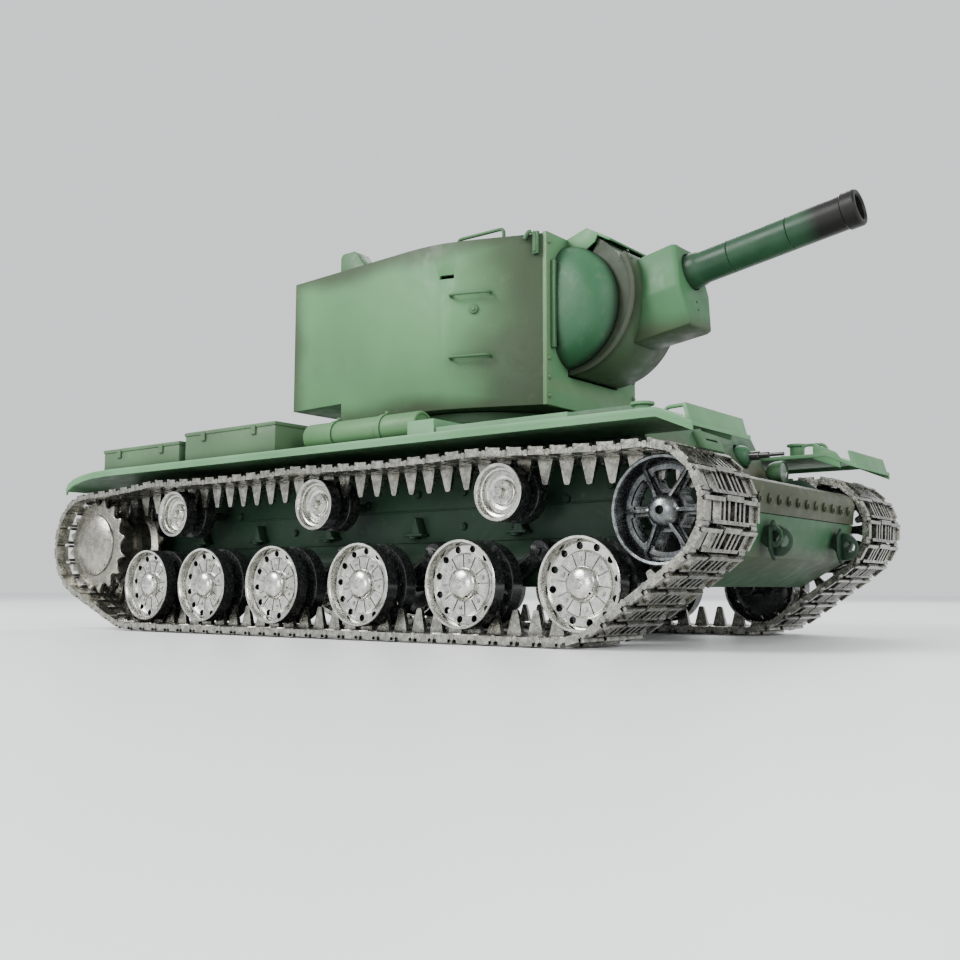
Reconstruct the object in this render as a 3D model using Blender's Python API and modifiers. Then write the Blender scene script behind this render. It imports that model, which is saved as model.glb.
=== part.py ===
"""A 1:16 radio-controlled heavy tank with a tall howitzer turret, as separate moving sub-parts.

Units are metres, +X forward, +Y to the tank's left, +Z up. The tracks stand on z = 0.
Side names are the tank's own left and right. Run with: blender --background --python part.py
"""

from math import atan2, cos, hypot, pi, radians, sin

import bmesh
import bpy
from mathutils import Matrix, Vector

MM = 0.001
GAP = 0.3 * MM  # clearance between pieces that touch
RUNNING_GAP = 0.35 * MM  # radial clearance of a shaft in its hole

# Running gear, measured from the rear road wheel
WHEEL_X = [0.0, 46.3 * MM, 99.1 * MM, 156.0 * MM, 214.1 * MM, 271.7 * MM]
WHEEL_RADIUS = 18.44 * MM
ROLLER_X = [21.5 * MM, 127.1 * MM, 233.5 * MM]
ROLLER_RADIUS = 11.9 * MM
ROLLER_Z = 60.4 * MM
IDLER_X = 306.5 * MM
IDLER_Z = 50.2 * MM
IDLER_RADIUS = 20.3 * MM
SPROCKET_X = -41.0 * MM
SPROCKET_Z = 45.4 * MM
SPROCKET_RADIUS = 23.6 * MM  # drum that carries the track
SPROCKET_TEETH = 16
TOOTH_HEIGHT = 2.6 * MM
TOOTH_RING_Y = 12.3 * MM  # from the middle of the track to the middle of a toothed ring
TOOTH_RING_WIDTH = 2.4 * MM
RIM_WIDTH = 7.0 * MM  # one rim of a twin wheel
GUIDE_SLOT = 5.2 * MM  # gap between the two rims, for the guide teeth
AXLE_RADIUS = 2.0 * MM

# Track
TRACK_Y = 81.0 * MM
TRACK_WIDTH = 43.75 * MM
TRACK_THICKNESS = 5.0 * MM
GUIDE_HEIGHT = 7.4 * MM
GUIDE_WIDTH = 2.6 * MM
WINDOW_DEPTH = 3.4 * MM  # channel that the sprocket teeth reach into

# Suspension
ARM_REACH = 20.0 * MM  # pivot ahead of its wheel
ARM_RISE = 14.0 * MM  # pivot above its wheel
ARM_THICKNESS = 4.6 * MM

# Hull
HULL_WIDTH = 112.0 * MM
HULL_WALL = 2.4 * MM
BELLY_Z = 23.2 * MM
SPLIT_Z = 51.2 * MM  # joint between the two hulls at the nose
FENDER_TOP = 85.0 * MM
ROOF_Z = 96.0 * MM
NOSE_X = 325.5 * MM
NOSE_TOP = 65.1 * MM
TAIL_X = -62.0 * MM

# Fenders
FENDER_WIDTH = 47.4 * MM
FENDER_SHEET = 1.6 * MM
LIP_HEIGHT = 3.4 * MM
LIP_WIDTH = 1.2 * MM

# Turret
TURRET_X = 163.0 * MM
TURRET_FLOOR = 104.3 * MM
TURRET_ROOF = 183.5 * MM
TURRET_WALL = 2.2 * MM
TURRET_FRONT = 58.4 * MM  # ahead of the ring's centre
TURRET_FRONT_HALF = 38.5 * MM
TURRET_WIDEST = 3.0 * MM
TURRET_WIDEST_HALF = 56.0 * MM
TURRET_REAR = -96.0 * MM
TURRET_REAR_HALF = 49.5 * MM
BUSTLE_X = -57.6 * MM
BUSTLE_FLOOR = 114.7 * MM
RING_RADIUS = 46.0 * MM
RING_HOLE = 38.0 * MM

# Howitzer, at its resting elevation
TRUNNION_X = 59.4 * MM  # ahead of the ring's centre
TRUNNION_Z = 155.1 * MM
ELEVATION = radians(10.07)
ROTOR_RADIUS = 40.0 * MM
ROTOR_HALF = 21.0 * MM
BOX_LENGTH = 53.0 * MM
BARREL_RADIUS = 7.3 * MM
BARREL_LENGTH = 131.0 * MM
BORE_RADIUS = 4.8 * MM
BORE_DEPTH = 12.0 * MM
BREECH_LENGTH = 18.0 * MM

STEPS = 20

# ---------------------------------------------------------------- scene and helpers


def clear_scene():
    for obj in list(bpy.data.objects):
        bpy.data.objects.remove(obj, do_unlink=True)
    for group in list(bpy.data.collections):
        bpy.data.collections.remove(group)


def new_collection(name):
    group = bpy.data.collections.new(name)
    bpy.context.scene.collection.children.link(group)
    return group


clear_scene()
tank = new_collection("rc_tank")
cutters = new_collection("cutters")
origin = bpy.data.objects.new("tank_origin", None)
tank.objects.link(origin)


def material(name, colour, roughness, metallic):
    mat = bpy.data.materials.new(name)
    mat.use_nodes = True
    shader = mat.node_tree.nodes["Principled BSDF"]
    shader.inputs["Base Color"].default_value = (*colour, 1.0)
    shader.inputs["Roughness"].default_value = roughness
    shader.inputs["Metallic"].default_value = metallic
    return mat


FINISHES = {
    "hull_green": ((0.10, 0.22, 0.13), 0.55, 0.0),
    "turret_green": ((0.13, 0.25, 0.14), 0.55, 0.0),
    "cast_metal": ((0.62, 0.60, 0.56), 0.35, 1.0),
    "dark_steel": ((0.20, 0.21, 0.22), 0.35, 1.0),
    "gloss_black": ((0.01, 0.01, 0.01), 0.15, 0.0),
    "gun_green": ((0.10, 0.21, 0.12), 0.45, 0.0),
    "black_iron": ((0.03, 0.03, 0.03), 0.50, 0.6),
    "battery_blue": ((0.05, 0.10, 0.30), 0.40, 0.0),
    "board_green": ((0.02, 0.20, 0.08), 0.40, 0.0),
    "housing_grey": ((0.30, 0.30, 0.31), 0.50, 0.0),
}


def mesh_object(name, mesh, group, location=(0, 0, 0)):
    obj = bpy.data.objects.new(name, mesh)
    group.objects.link(obj)
    obj.location = location
    obj.parent = origin
    return obj


def as_mesh(bm, name):
    bmesh.ops.recalc_face_normals(bm, faces=bm.faces)
    if bm.calc_volume(signed=True) < 0:
        bmesh.ops.reverse_faces(bm, faces=bm.faces)
    mesh = bpy.data.meshes.new(name)
    bm.to_mesh(mesh)
    bm.free()
    return mesh


def block(low, high, bevel=0.0):
    """A box between two corners, its edges rounded by one small face."""
    bm = bmesh.new()
    bmesh.ops.create_cube(bm, size=1.0)
    size = [high[i] - low[i] for i in range(3)]
    middle = [(high[i] + low[i]) / 2 for i in range(3)]
    bmesh.ops.scale(bm, vec=size, verts=bm.verts)
    bmesh.ops.translate(bm, vec=middle, verts=bm.verts)
    if bevel:
        bmesh.ops.bevel(
            bm, geom=bm.edges[:], offset=bevel, segments=1, affect="EDGES", profile=0.5, material=-1
        )
    return bm


def prism(outline, low, high, axis="Y"):
    """A flat outline extruded between two levels. The outline is (x, z) for Y and (x, y) for Z."""
    bm = bmesh.new()
    if axis == "Y":
        verts = [bm.verts.new((x, low, z)) for x, z in outline]
        step = (0, high - low, 0)
    else:
        verts = [bm.verts.new((x, y, low)) for x, y in outline]
        step = (0, 0, high - low)
    face = bm.faces.new(verts)
    grown = bmesh.ops.extrude_face_region(bm, geom=[face])["geom"]
    moved = [item for item in grown if isinstance(item, bmesh.types.BMVert)]
    bmesh.ops.translate(bm, vec=step, verts=moved)
    return bm


def disc(radius, start, end, steps=STEPS, axis="Y", end_radius=None):
    """A cylinder or cone along an axis, between two stations on it."""
    bm = bmesh.new()
    bmesh.ops.create_cone(
        bm,
        cap_ends=True,
        segments=steps,
        radius1=radius,
        radius2=radius if end_radius is None else end_radius,
        depth=end - start,
    )
    bmesh.ops.translate(bm, vec=(0, 0, (start + end) / 2), verts=bm.verts)
    turn = {"X": Matrix.Rotation(pi / 2, 3, "Y"), "Y": Matrix.Rotation(-pi / 2, 3, "X")}
    if axis in turn:
        bmesh.ops.rotate(bm, cent=(0, 0, 0), matrix=turn[axis], verts=bm.verts)
    return bm


def ball(radius, around=12, rings=8):
    bm = bmesh.new()
    bmesh.ops.create_uvsphere(bm, u_segments=around, v_segments=rings, radius=radius)
    return bm


def shifted(bm, offset):
    bmesh.ops.translate(bm, vec=offset, verts=bm.verts)
    return bm


def tilted(bm, angle):
    """Turns a gun piece, drawn along +X, up by an angle."""
    bmesh.ops.rotate(bm, cent=(0, 0, 0), matrix=Matrix.Rotation(-angle, 3, "Y"), verts=bm.verts)
    return bm


def part(name, bm, finish, location=(0, 0, 0)):
    obj = mesh_object(name, as_mesh(bm, name), tank, location)
    obj.data.materials.append(material(name, *FINISHES[finish]))
    return obj


def turned_part(name, profile, finish, location, side, steps):
    """A round part from (radius, height) points, which run down its outer side.

    Its height points away from the hull, and its origin is on its axle.
    """
    bm = bmesh.new()
    verts = [bm.verts.new((radius, 0, height)) for radius, height in profile]
    ends = list(zip(verts, verts[1:]))
    if profile[0][0] > 0:
        ends.append((verts[-1], verts[0]))
    for pair in ends:
        bm.edges.new(pair)
    mesh = bpy.data.meshes.new(name)
    bm.to_mesh(mesh)
    bm.free()
    obj = mesh_object(name, mesh, tank, location)
    obj.rotation_euler = (-side * pi / 2, 0, 0)
    obj.data.materials.append(material(name, *FINISHES[finish]))
    spin = obj.modifiers.new("spin", "SCREW")
    spin.axis = "Z"
    spin.angle = 2 * pi
    spin.steps = steps
    spin.render_steps = steps
    spin.use_merge_vertices = True
    spin.merge_threshold = 0.00001
    spin.use_smooth_shade = True
    return obj


def combine(obj, shapes, operation):
    """Adds shapes to a part, or cuts them from it, with one Boolean each."""
    for index, bm in enumerate(shapes):
        label = f"{obj.name}_{operation.lower()}_{index}"
        tool = mesh_object(label, as_mesh(bm, label), cutters, obj.location)
        tool.hide_render = True
        tool.display_type = "WIRE"
        change = obj.modifiers.new(label, "BOOLEAN")
        change.operation = operation
        change.solver = "EXACT"
        change.object = tool


SIDES = {"left": 1, "right": -1}


# ---------------------------------------------------------------- hull

hull_half = HULL_WIDTH / 2
wheel_z = TRACK_THICKNESS + GAP + WHEEL_RADIUS
pivot_z = wheel_z + ARM_RISE
glacis_x = NOSE_X - 39 * MM  # foot of the driver's plate
driver_top_x = glacis_x - 11 * MM
glacis_top = NOSE_TOP + 7 * MM
wall_top = FENDER_TOP - FENDER_SHEET - GAP

lower_outline = [
    (TAIL_X + 4 * MM, wall_top),
    (TAIL_X, SPROCKET_Z + 14 * MM),
    (TAIL_X + 20 * MM, BELLY_Z + 6 * MM),
    (TAIL_X + 34 * MM, BELLY_Z),
    (NOSE_X - 25.7 * MM, BELLY_Z),
    (NOSE_X - 5.3 * MM, BELLY_Z + 11.2 * MM),
    (NOSE_X - 1.2 * MM, SPLIT_Z - GAP),
    (glacis_x + 6 * MM, SPLIT_Z - GAP),
    (glacis_x - 12 * MM, wall_top),
]
lower_inside = [
    (TAIL_X + 4 * MM + HULL_WALL, wall_top + 5 * MM),
    (TAIL_X + HULL_WALL, SPROCKET_Z + 14 * MM),
    (TAIL_X + 21 * MM, BELLY_Z + 6 * MM + HULL_WALL),
    (TAIL_X + 34 * MM, BELLY_Z + HULL_WALL),
    (NOSE_X - 26.5 * MM, BELLY_Z + HULL_WALL),
    (NOSE_X - 7.6 * MM, BELLY_Z + 11.2 * MM + HULL_WALL),
    (NOSE_X - 4 * MM, SPLIT_Z + 5 * MM),
    (glacis_x + 6 * MM, SPLIT_Z + 5 * MM),
    (glacis_x - 12 * MM, wall_top + 5 * MM),
]


def across(start, end, side):
    """Low and high Y of a stretch that is given outwards from the middle plane."""
    return tuple(sorted((start * side, end * side)))


def stub(radius, x, z, start, end, side, steps=12):
    low, high = across(start, end, side)
    return shifted(disc(radius, low, high, steps), (x, 0, z))


def roller_stubs(side):
    reach = TRACK_Y + RIM_WIDTH
    return [stub(AXLE_RADIUS, x, ROLLER_Z, hull_half - 1 * MM, reach, side, 10) for x in ROLLER_X]


lower_hull = part("lower_hull", prism(lower_outline, -hull_half, hull_half), "hull_green")
combine(
    lower_hull,
    [prism(lower_inside, -hull_half + HULL_WALL, hull_half - HULL_WALL)],
    "DIFFERENCE",
)
additions = []
openings = []
for side in SIDES.values():
    additions += roller_stubs(side)
    additions.append(
        stub(AXLE_RADIUS, IDLER_X, IDLER_Z, hull_half - 1 * MM, TRACK_Y + RIM_WIDTH, side, 10)
    )
    additions.append(
        stub(17 * MM, SPROCKET_X, SPROCKET_Z, hull_half - 1 * MM, hull_half + 4 * MM, side)
    )
    openings.append(
        stub(
            AXLE_RADIUS + RUNNING_GAP,
            SPROCKET_X,
            SPROCKET_Z,
            hull_half - 5 * MM,
            hull_half + 6 * MM,
            side,
        )
    )
    for x in WHEEL_X:
        openings.append(
            stub(
                AXLE_RADIUS + RUNNING_GAP,
                x + ARM_REACH,
                pivot_z,
                hull_half - 5 * MM,
                hull_half + 2 * MM,
                side,
            )
        )
for tow_y in (-37.5 * MM, 37.5 * MM):
    eye = disc(4.6 * MM, tow_y - 1.6 * MM, tow_y + 1.6 * MM, 12)
    additions.append(shifted(eye, (NOSE_X + 0.6 * MM, 0, SPLIT_Z - 9 * MM)))
    hole = disc(2.2 * MM, tow_y - 3 * MM, tow_y + 3 * MM, 10)
    openings.append(shifted(hole, (NOSE_X + 1.8 * MM, 0, SPLIT_Z - 9 * MM)))
combine(lower_hull, additions, "UNION")
combine(lower_hull, openings, "DIFFERENCE")

upper_outline = [
    (TAIL_X + 4 * MM, wall_top + GAP),
    (glacis_x - 12 * MM + GAP, wall_top + GAP),
    (glacis_x + 6 * MM + GAP, SPLIT_Z),
    (NOSE_X - 1 * MM, SPLIT_Z),
    (NOSE_X, SPLIT_Z + 9 * MM),
    (NOSE_X - 1.4 * MM, NOSE_TOP - 1.6 * MM),
    (NOSE_X - 4.5 * MM, NOSE_TOP),
    (glacis_x, glacis_top),
    (driver_top_x, ROOF_Z),
    (TAIL_X + 26 * MM, ROOF_Z),
    (TAIL_X + 6 * MM, ROOF_Z - 4 * MM),
]
upper_inside = [
    (TAIL_X + 8 * MM, wall_top - 3 * MM),
    (glacis_x - 14 * MM, wall_top - 3 * MM),
    (glacis_x + 4 * MM, SPLIT_Z - 3 * MM),
    (NOSE_X - 3.6 * MM, SPLIT_Z - 3 * MM),
    (NOSE_X - 2.6 * MM, SPLIT_Z + 9 * MM),
    (NOSE_X - 5 * MM, NOSE_TOP - HULL_WALL),
    (glacis_x - 1.6 * MM, glacis_top - HULL_WALL),
    (driver_top_x - 1.6 * MM, ROOF_Z - HULL_WALL),
    (TAIL_X + 26 * MM, ROOF_Z - HULL_WALL),
    (TAIL_X + 8 * MM, ROOF_Z - 4 * MM - HULL_WALL),
]
MG_Y = 33.0 * MM
MG_Z = 83.2 * MM
MG_BALL = 5.4 * MM
ENGINE_COVER_X = 40.0 * MM
ENGINE_COVER_RADIUS = 17.0 * MM
mg_x = glacis_x - (MG_Z - glacis_top) * (glacis_x - driver_top_x) / (ROOF_Z - glacis_top)

upper_hull = part("upper_hull", prism(upper_outline, -hull_half, hull_half), "hull_green")
ring_opening = shifted(
    disc(RING_RADIUS + 0.6 * MM, ROOF_Z - 6 * MM, ROOF_Z + 4 * MM, 40, "Z"), (TURRET_X, 0, 0)
)
ball_socket = shifted(disc(MG_BALL + 0.5 * MM, -8 * MM, 8 * MM, 16, "X"), (mg_x, MG_Y, MG_Z))
engine_cover = shifted(
    disc(ENGINE_COVER_RADIUS, ROOF_Z - 1 * MM, ROOF_Z + 3 * MM, 24, "Z", 10 * MM),
    (ENGINE_COVER_X, 0, 0),
)
combine(
    upper_hull,
    [
        prism(upper_inside, -hull_half + HULL_WALL, hull_half - HULL_WALL),
        ring_opening,
        ball_socket,
        *[
            stub(AXLE_RADIUS + GAP, IDLER_X, IDLER_Z, hull_half - 2 * MM, hull_half + 2 * MM, side)
            for side in SIDES.values()
        ],
    ],
    "DIFFERENCE",
)
combine(upper_hull, [engine_cover], "UNION")

# Ball-mounted hull machine gun
hull_mg = part("hull_mg", ball(MG_BALL), "black_iron", (mg_x, MG_Y, MG_Z))
combine(
    hull_mg,
    [
        disc(2.4 * MM, 2 * MM, 10 * MM, 12, "X", 2.0 * MM),
        disc(0.9 * MM, 6 * MM, 21 * MM, 10, "X"),
    ],
    "UNION",
)

# Headlight on the glacis
lamp_x = glacis_x + 8 * MM
lamp_z = NOSE_TOP + (NOSE_X - 4.5 * MM - lamp_x) * 7 / 34.5 + 5.6 * MM
headlight = part(
    "headlight",
    disc(4.6 * MM, -4 * MM, 3.6 * MM, 16, "X", 5.2 * MM),
    "hull_green",
    (lamp_x, 44 * MM, lamp_z),
)
combine(
    headlight,
    [block((-2 * MM, -1.2 * MM, -4.9 * MM), (2 * MM, 1.2 * MM, 0))],
    "UNION",
)
combine(headlight, [disc(4.2 * MM, 2.4 * MM, 6 * MM, 16, "X")], "DIFFERENCE")

# ---------------------------------------------------------------- fenders and what they carry

fender_inner = hull_half + GAP
fender_outer = fender_inner + FENDER_WIDTH
front_bend = NOSE_X - 13 * MM
front_tip = NOSE_X + 1 * MM
tip_drop = 6 * MM
tail_bend = -19.0 * MM
tail_tip = -57.8 * MM
tail_drop = 8.2 * MM


LOCKER_X = (191.0 * MM, 205.5 * MM)
TRAY_END = 271.0 * MM


def fender_line(offset):
    """Top line of the sheet from the tail guard to the front guard, lowered by an offset."""
    steps = 5
    reach = tail_bend - tail_tip
    curve = [
        (tail_bend - reach * sin(i / steps * pi / 2) ** 0.9, tail_drop * (i / steps) ** 1.8)
        for i in range(steps, 0, -1)
    ]
    points = [(x, FENDER_TOP - drop - offset) for x, drop in curve]
    points.append((tail_bend, FENDER_TOP - offset))
    points.append((front_bend, FENDER_TOP - offset))
    points.append((front_tip, FENDER_TOP - tip_drop - offset))
    return points


for name, side in SIDES.items():
    sheet = fender_line(0) + fender_line(FENDER_SHEET)[::-1]
    lip = fender_line(FENDER_SHEET / 2) + fender_line(LIP_HEIGHT)[::-1]
    fender = part(f"fender_{name}", prism(sheet, *across(fender_inner, fender_outer, side)), "hull_green")
    board = [
        (front_tip - 2 * MM, FENDER_TOP - tip_drop - 1 * MM),
        (front_tip - 0.6 * MM, FENDER_TOP - tip_drop - 1 * MM),
        (front_tip - 2.6 * MM, FENDER_TOP - tip_drop + 6.5 * MM),
        (front_tip - 4 * MM, FENDER_TOP - tip_drop + 6.5 * MM),
    ]
    locker = block(
        (LOCKER_X[0], *across(66 * MM, 97 * MM, side)[:1], FENDER_TOP - 1 * MM),
        (LOCKER_X[1], *across(66 * MM, 97 * MM, side)[1:], FENDER_TOP + 7 * MM),
    )
    tray = block(
        (LOCKER_X[1] - 1 * MM, *across(68 * MM, 96 * MM, side)[:1], FENDER_TOP - 1 * MM),
        (TRAY_END, *across(68 * MM, 96 * MM, side)[1:], FENDER_TOP + 3.4 * MM),
    )
    combine(
        fender,
        [
            locker,
            tray,
            prism(lip, *across(fender_outer - LIP_WIDTH, fender_outer - 0.05 * MM, side)),
            prism(board, *across(fender_inner + 1 * MM, fender_outer - 1 * MM, side)),
        ],
        "UNION",
    )

BOX_OUTER = 97.0 * MM
BOX_INNER = 62.0 * MM
BOX_SPECS = {"rear": (-32 * MM, 34.3 * MM, 11.6 * MM), "middle": (39.5 * MM, 107.5 * MM, 15 * MM)}
DRUM_X = (119.5 * MM, 188 * MM)
DRUM_RADIUS = 6.4 * MM
for name, side in SIDES.items():
    for place, (start, end, height) in BOX_SPECS.items():
        y_low, y_high = across(BOX_INNER, BOX_OUTER, side)
        base = FENDER_TOP + GAP
        low = (start, y_low, base)
        high = (end, y_high, base + height)
        part(f"stowage_box_{place}_{name}", block(low, high, 1.6 * MM), "hull_green")
    drum = part(
        f"fuel_drum_{name}",
        disc(DRUM_RADIUS, *DRUM_X, 16, "X"),
        "hull_green",
        (0, 84 * MM * side, FENDER_TOP + GAP + DRUM_RADIUS + 0.6 * MM),
    )
    feet = []
    for x in (136.7 * MM, 167 * MM):
        foot_high = (x + 1.5 * MM, 5 * MM, 0)
        feet.append(block((x - 1.5 * MM, -5 * MM, -DRUM_RADIUS - 0.6 * MM), foot_high))
        feet.append(disc(DRUM_RADIUS + 0.6 * MM, x - 1.5 * MM, x + 1.5 * MM, 16, "X"))
    combine(drum, feet, "UNION")

# ---------------------------------------------------------------- turret

half_plan = [
    (TURRET_REAR, TURRET_REAR_HALF),
    (TURRET_WIDEST - 26 * MM, TURRET_WIDEST_HALF - 1.2 * MM),
    (TURRET_WIDEST - 8 * MM, TURRET_WIDEST_HALF),
    (TURRET_WIDEST + 8 * MM, TURRET_WIDEST_HALF - 0.8 * MM),
    (TURRET_WIDEST + 24 * MM, TURRET_WIDEST_HALF - 5.4 * MM),
    (TURRET_FRONT, TURRET_FRONT_HALF),
]


def plan(inset=0.0, rear=None):
    """The turret's plan, drawn in by a wall; rear moves its back edge forward to a station."""
    points = [(x, half - inset) for x, half in half_plan]
    points[0] = (TURRET_REAR + inset if rear is None else rear, points[0][1])
    points[-1] = (TURRET_FRONT - inset, points[-1][1] - inset * 0.3)
    if rear is not None:
        share = (rear - TURRET_REAR) / (half_plan[1][0] - TURRET_REAR)
        points[0] = (rear, points[0][1] + share * (half_plan[1][1] - TURRET_REAR_HALF))
    return points + [(x, -half) for x, half in points[::-1]]


turret_shell = part(
    "turret_shell", prism(plan(), TURRET_FLOOR, TURRET_ROOF, "Z"), "turret_green", (TURRET_X, 0, 0)
)
under_bustle = block(
    (TURRET_REAR - 5 * MM, -70 * MM, TURRET_FLOOR - 5 * MM), (BUSTLE_X, 70 * MM, BUSTLE_FLOOR)
)
inner_roof = TURRET_ROOF - TURRET_WALL
main_room = prism(
    plan(TURRET_WALL, BUSTLE_X + TURRET_WALL), TURRET_FLOOR - 5 * MM, inner_roof, "Z"
)
bustle_room = prism(plan(TURRET_WALL), BUSTLE_FLOOR + TURRET_WALL, inner_roof, "Z")
gun_port = block(
    (TURRET_FRONT - 10 * MM, -ROTOR_HALF - 0.6 * MM, TRUNNION_Z - ROTOR_RADIUS - 0.8 * MM),
    (TURRET_FRONT + 34 * MM, ROTOR_HALF + 0.6 * MM, TURRET_ROOF - 1.4 * MM),
)
DOOR_HALF = 16.0 * MM
DOOR_Z = (124.0 * MM, 160.0 * MM)
door_port = block(
    (TURRET_REAR - 5 * MM, -DOOR_HALF - GAP, DOOR_Z[0] - GAP),
    (TURRET_REAR + 5 * MM, DOOR_HALF + GAP, DOOR_Z[1] + GAP),
)
CUPOLA_X = -29.0 * MM
CUPOLA_Y = 21.0 * MM
CUPOLA_RADIUS = 13.0 * MM
cupola_port = shifted(
    disc(CUPOLA_RADIUS + GAP, inner_roof - 3 * MM, TURRET_ROOF + 3 * MM, 24, "Z"),
    (CUPOLA_X, CUPOLA_Y, 0),
)
cheeks = []
CHEEK_RADIUS = 28.0 * MM
CHEEK_OUTER = 38.0 * MM
TRUNNION_PIN = 2.5 * MM
TRUNNION_REACH = 6.0 * MM
pin_sockets = shifted(
    disc(
        TRUNNION_PIN + RUNNING_GAP,
        -ROTOR_HALF - TRUNNION_REACH - 1 * MM,
        ROTOR_HALF + TRUNNION_REACH + 1 * MM,
        12,
    ),
    (TRUNNION_X, 0, TRUNNION_Z),
)
for side in SIDES.values():
    low, high = across(ROTOR_HALF + 0.6 * MM, CHEEK_OUTER, side)
    radii = (CHEEK_RADIUS, 20 * MM) if side > 0 else (20 * MM, CHEEK_RADIUS)
    cheek = disc(radii[0], low, high, 24, "Y", radii[1])
    cheeks.append(shifted(cheek, (TURRET_FRONT - 1 * MM, 0, TRUNNION_Z - 3.6 * MM)))
brow = block(
    (TURRET_FRONT - 6 * MM, -20 * MM, TURRET_ROOF - 1.2 * MM),
    (TURRET_FRONT + 12 * MM, 20 * MM, TURRET_ROOF + 2.4 * MM),
)
combine(turret_shell, cheeks, "UNION")
combine(
    turret_shell,
    [under_bustle, main_room, bustle_room, gun_port, pin_sockets, door_port, cupola_port],
    "DIFFERENCE",
)
combine(turret_shell, [brow], "UNION")

# Ring and floor that turn with the turret
ring_low = ROOF_Z - HULL_WALL - 2 * MM
turret_ring = part(
    "turret_ring",
    disc(RING_RADIUS, ring_low, TURRET_FLOOR - GAP, 40, "Z"),
    "dark_steel",
    (TURRET_X, 0, 0),
)
combine(
    turret_ring, [disc(RING_HOLE, ring_low - 5 * MM, TURRET_FLOOR + 5 * MM, 32, "Z")], "DIFFERENCE"
)

# Round roof hatch, hinged at its rear edge
lid_hinge = CUPOLA_RADIUS + 2.4 * MM
lid = shifted(disc(CUPOLA_RADIUS, -2 * MM, 0.8 * MM, 24, "Z"), (lid_hinge, 0, -0.4 * MM))
turret_hatch = part(
    "turret_hatch",
    lid,
    "turret_green",
    (TURRET_X + CUPOLA_X - lid_hinge, CUPOLA_Y, TURRET_ROOF + 1.4 * MM),
)
lid_knuckle = disc(1.0 * MM, -4 * MM, 4 * MM, 10)
lid_strap = block((0, -3 * MM, -0.6 * MM), (7 * MM, 3 * MM, 0.8 * MM))
combine(turret_hatch, [lid_knuckle, lid_strap], "UNION")

# Rear door, hinged on its left edge, with its machine gun
door_y = DOOR_HALF + 1.6 * MM
rear_door = part(
    "rear_door",
    block((0.3 * MM, -2 * DOOR_HALF - 1.6 * MM, DOOR_Z[0]), (2.3 * MM, -1.6 * MM, DOOR_Z[1])),
    "turret_green",
    (TURRET_X + TURRET_REAR - 1.2 * MM, door_y, 0),
)
hinge_straps = []
for z in (DOOR_Z[0] + 8 * MM, DOOR_Z[1] - 8 * MM):
    hinge_straps.append(
        block((-0.7 * MM, -9 * MM, z - 2 * MM), (0.8 * MM, 0, z + 2 * MM))
    )
    hinge_straps.append(shifted(disc(0.9 * MM, z - 3 * MM, z + 3 * MM, 10, "Z"), (0, 0, 0)))
combine(rear_door, hinge_straps, "UNION")
gun_middle = (DOOR_Z[0] + DOOR_Z[1]) / 2
rear_gun_hole = shifted(disc(4.6 * MM, -5 * MM, 8 * MM, 16, "X"), (0, -door_y, gun_middle))
combine(rear_door, [rear_gun_hole], "DIFFERENCE")

rear_mg = part(
    "rear_mg",
    ball(4.1 * MM),
    "black_iron",
    (TURRET_X + TURRET_REAR + 0.1 * MM, 0, gun_middle),
)
combine(
    rear_mg,
    [disc(1.6 * MM, -8 * MM, 1 * MM, 12, "X"), disc(0.9 * MM, -16 * MM, 1 * MM, 10, "X")],
    "UNION",
)

# Periscope head near the right edge of the roof
PERISCOPE_X = -62.5 * MM
PERISCOPE_Y = -35.0 * MM
periscope = part(
    "periscope",
    disc(5 * MM, TURRET_ROOF + GAP, TURRET_ROOF + 8 * MM, 16, "Z", 4.4 * MM),
    "turret_green",
    (TURRET_X + PERISCOPE_X, PERISCOPE_Y, 0),
)
combine(
    periscope,
    [block((-10 * MM, -4 * MM, TURRET_ROOF + 7 * MM), (10 * MM, 4 * MM, TURRET_ROOF + 15 * MM))],
    "UNION",
)

# ---------------------------------------------------------------- howitzer

trunnion = (TURRET_X + TRUNNION_X, 0, TRUNNION_Z)


def gun_section(station, points):
    """Corners of the gun box across the barrel, at a distance along it."""
    return [(station + lean, y, z) for lean, y, z in points]


BOX_SECTION = [
    (0.0, 11.0 * MM, 11.6 * MM),
    (0.6 * MM, 15.0 * MM, -9.0 * MM),
    (-4.0 * MM, 10.6 * MM, -27.0 * MM),
]
section = BOX_SECTION + [(lean, -y, z) for lean, y, z in BOX_SECTION[::-1]]


def gun_box():
    """The armoured box: one section swept from inside the rotor to its front plate."""
    bm = bmesh.new()
    front = [bm.verts.new(point) for point in gun_section(BOX_LENGTH, section)]
    back = [bm.verts.new(point) for point in gun_section(18 * MM, section)]
    front_loop = [bm.edges.new(pair) for pair in zip(front, front[1:] + front[:1])]
    back_loop = [bm.edges.new(pair) for pair in zip(back, back[1:] + back[:1])]
    bmesh.ops.bridge_loops(bm, edges=front_loop + back_loop)
    bmesh.ops.contextual_create(bm, geom=front_loop)
    bmesh.ops.contextual_create(bm, geom=back_loop)
    return bm


def rotor_sector():
    """Side view of the curved shield: an arc of skirt in front of a drum on the trunnions."""
    low, high = radians(-76), radians(24)
    count = 10
    arc = [low + (high - low) * i / count for i in range(count + 1)]
    outer = [(ROTOR_RADIUS * cos(a), ROTOR_RADIUS * sin(a)) for a in arc]
    inner = [((ROTOR_RADIUS - 30 * MM) * cos(a), (ROTOR_RADIUS - 30 * MM) * sin(a)) for a in arc]
    return prism(outer + inner[::-1], -ROTOR_HALF, ROTOR_HALF)


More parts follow.
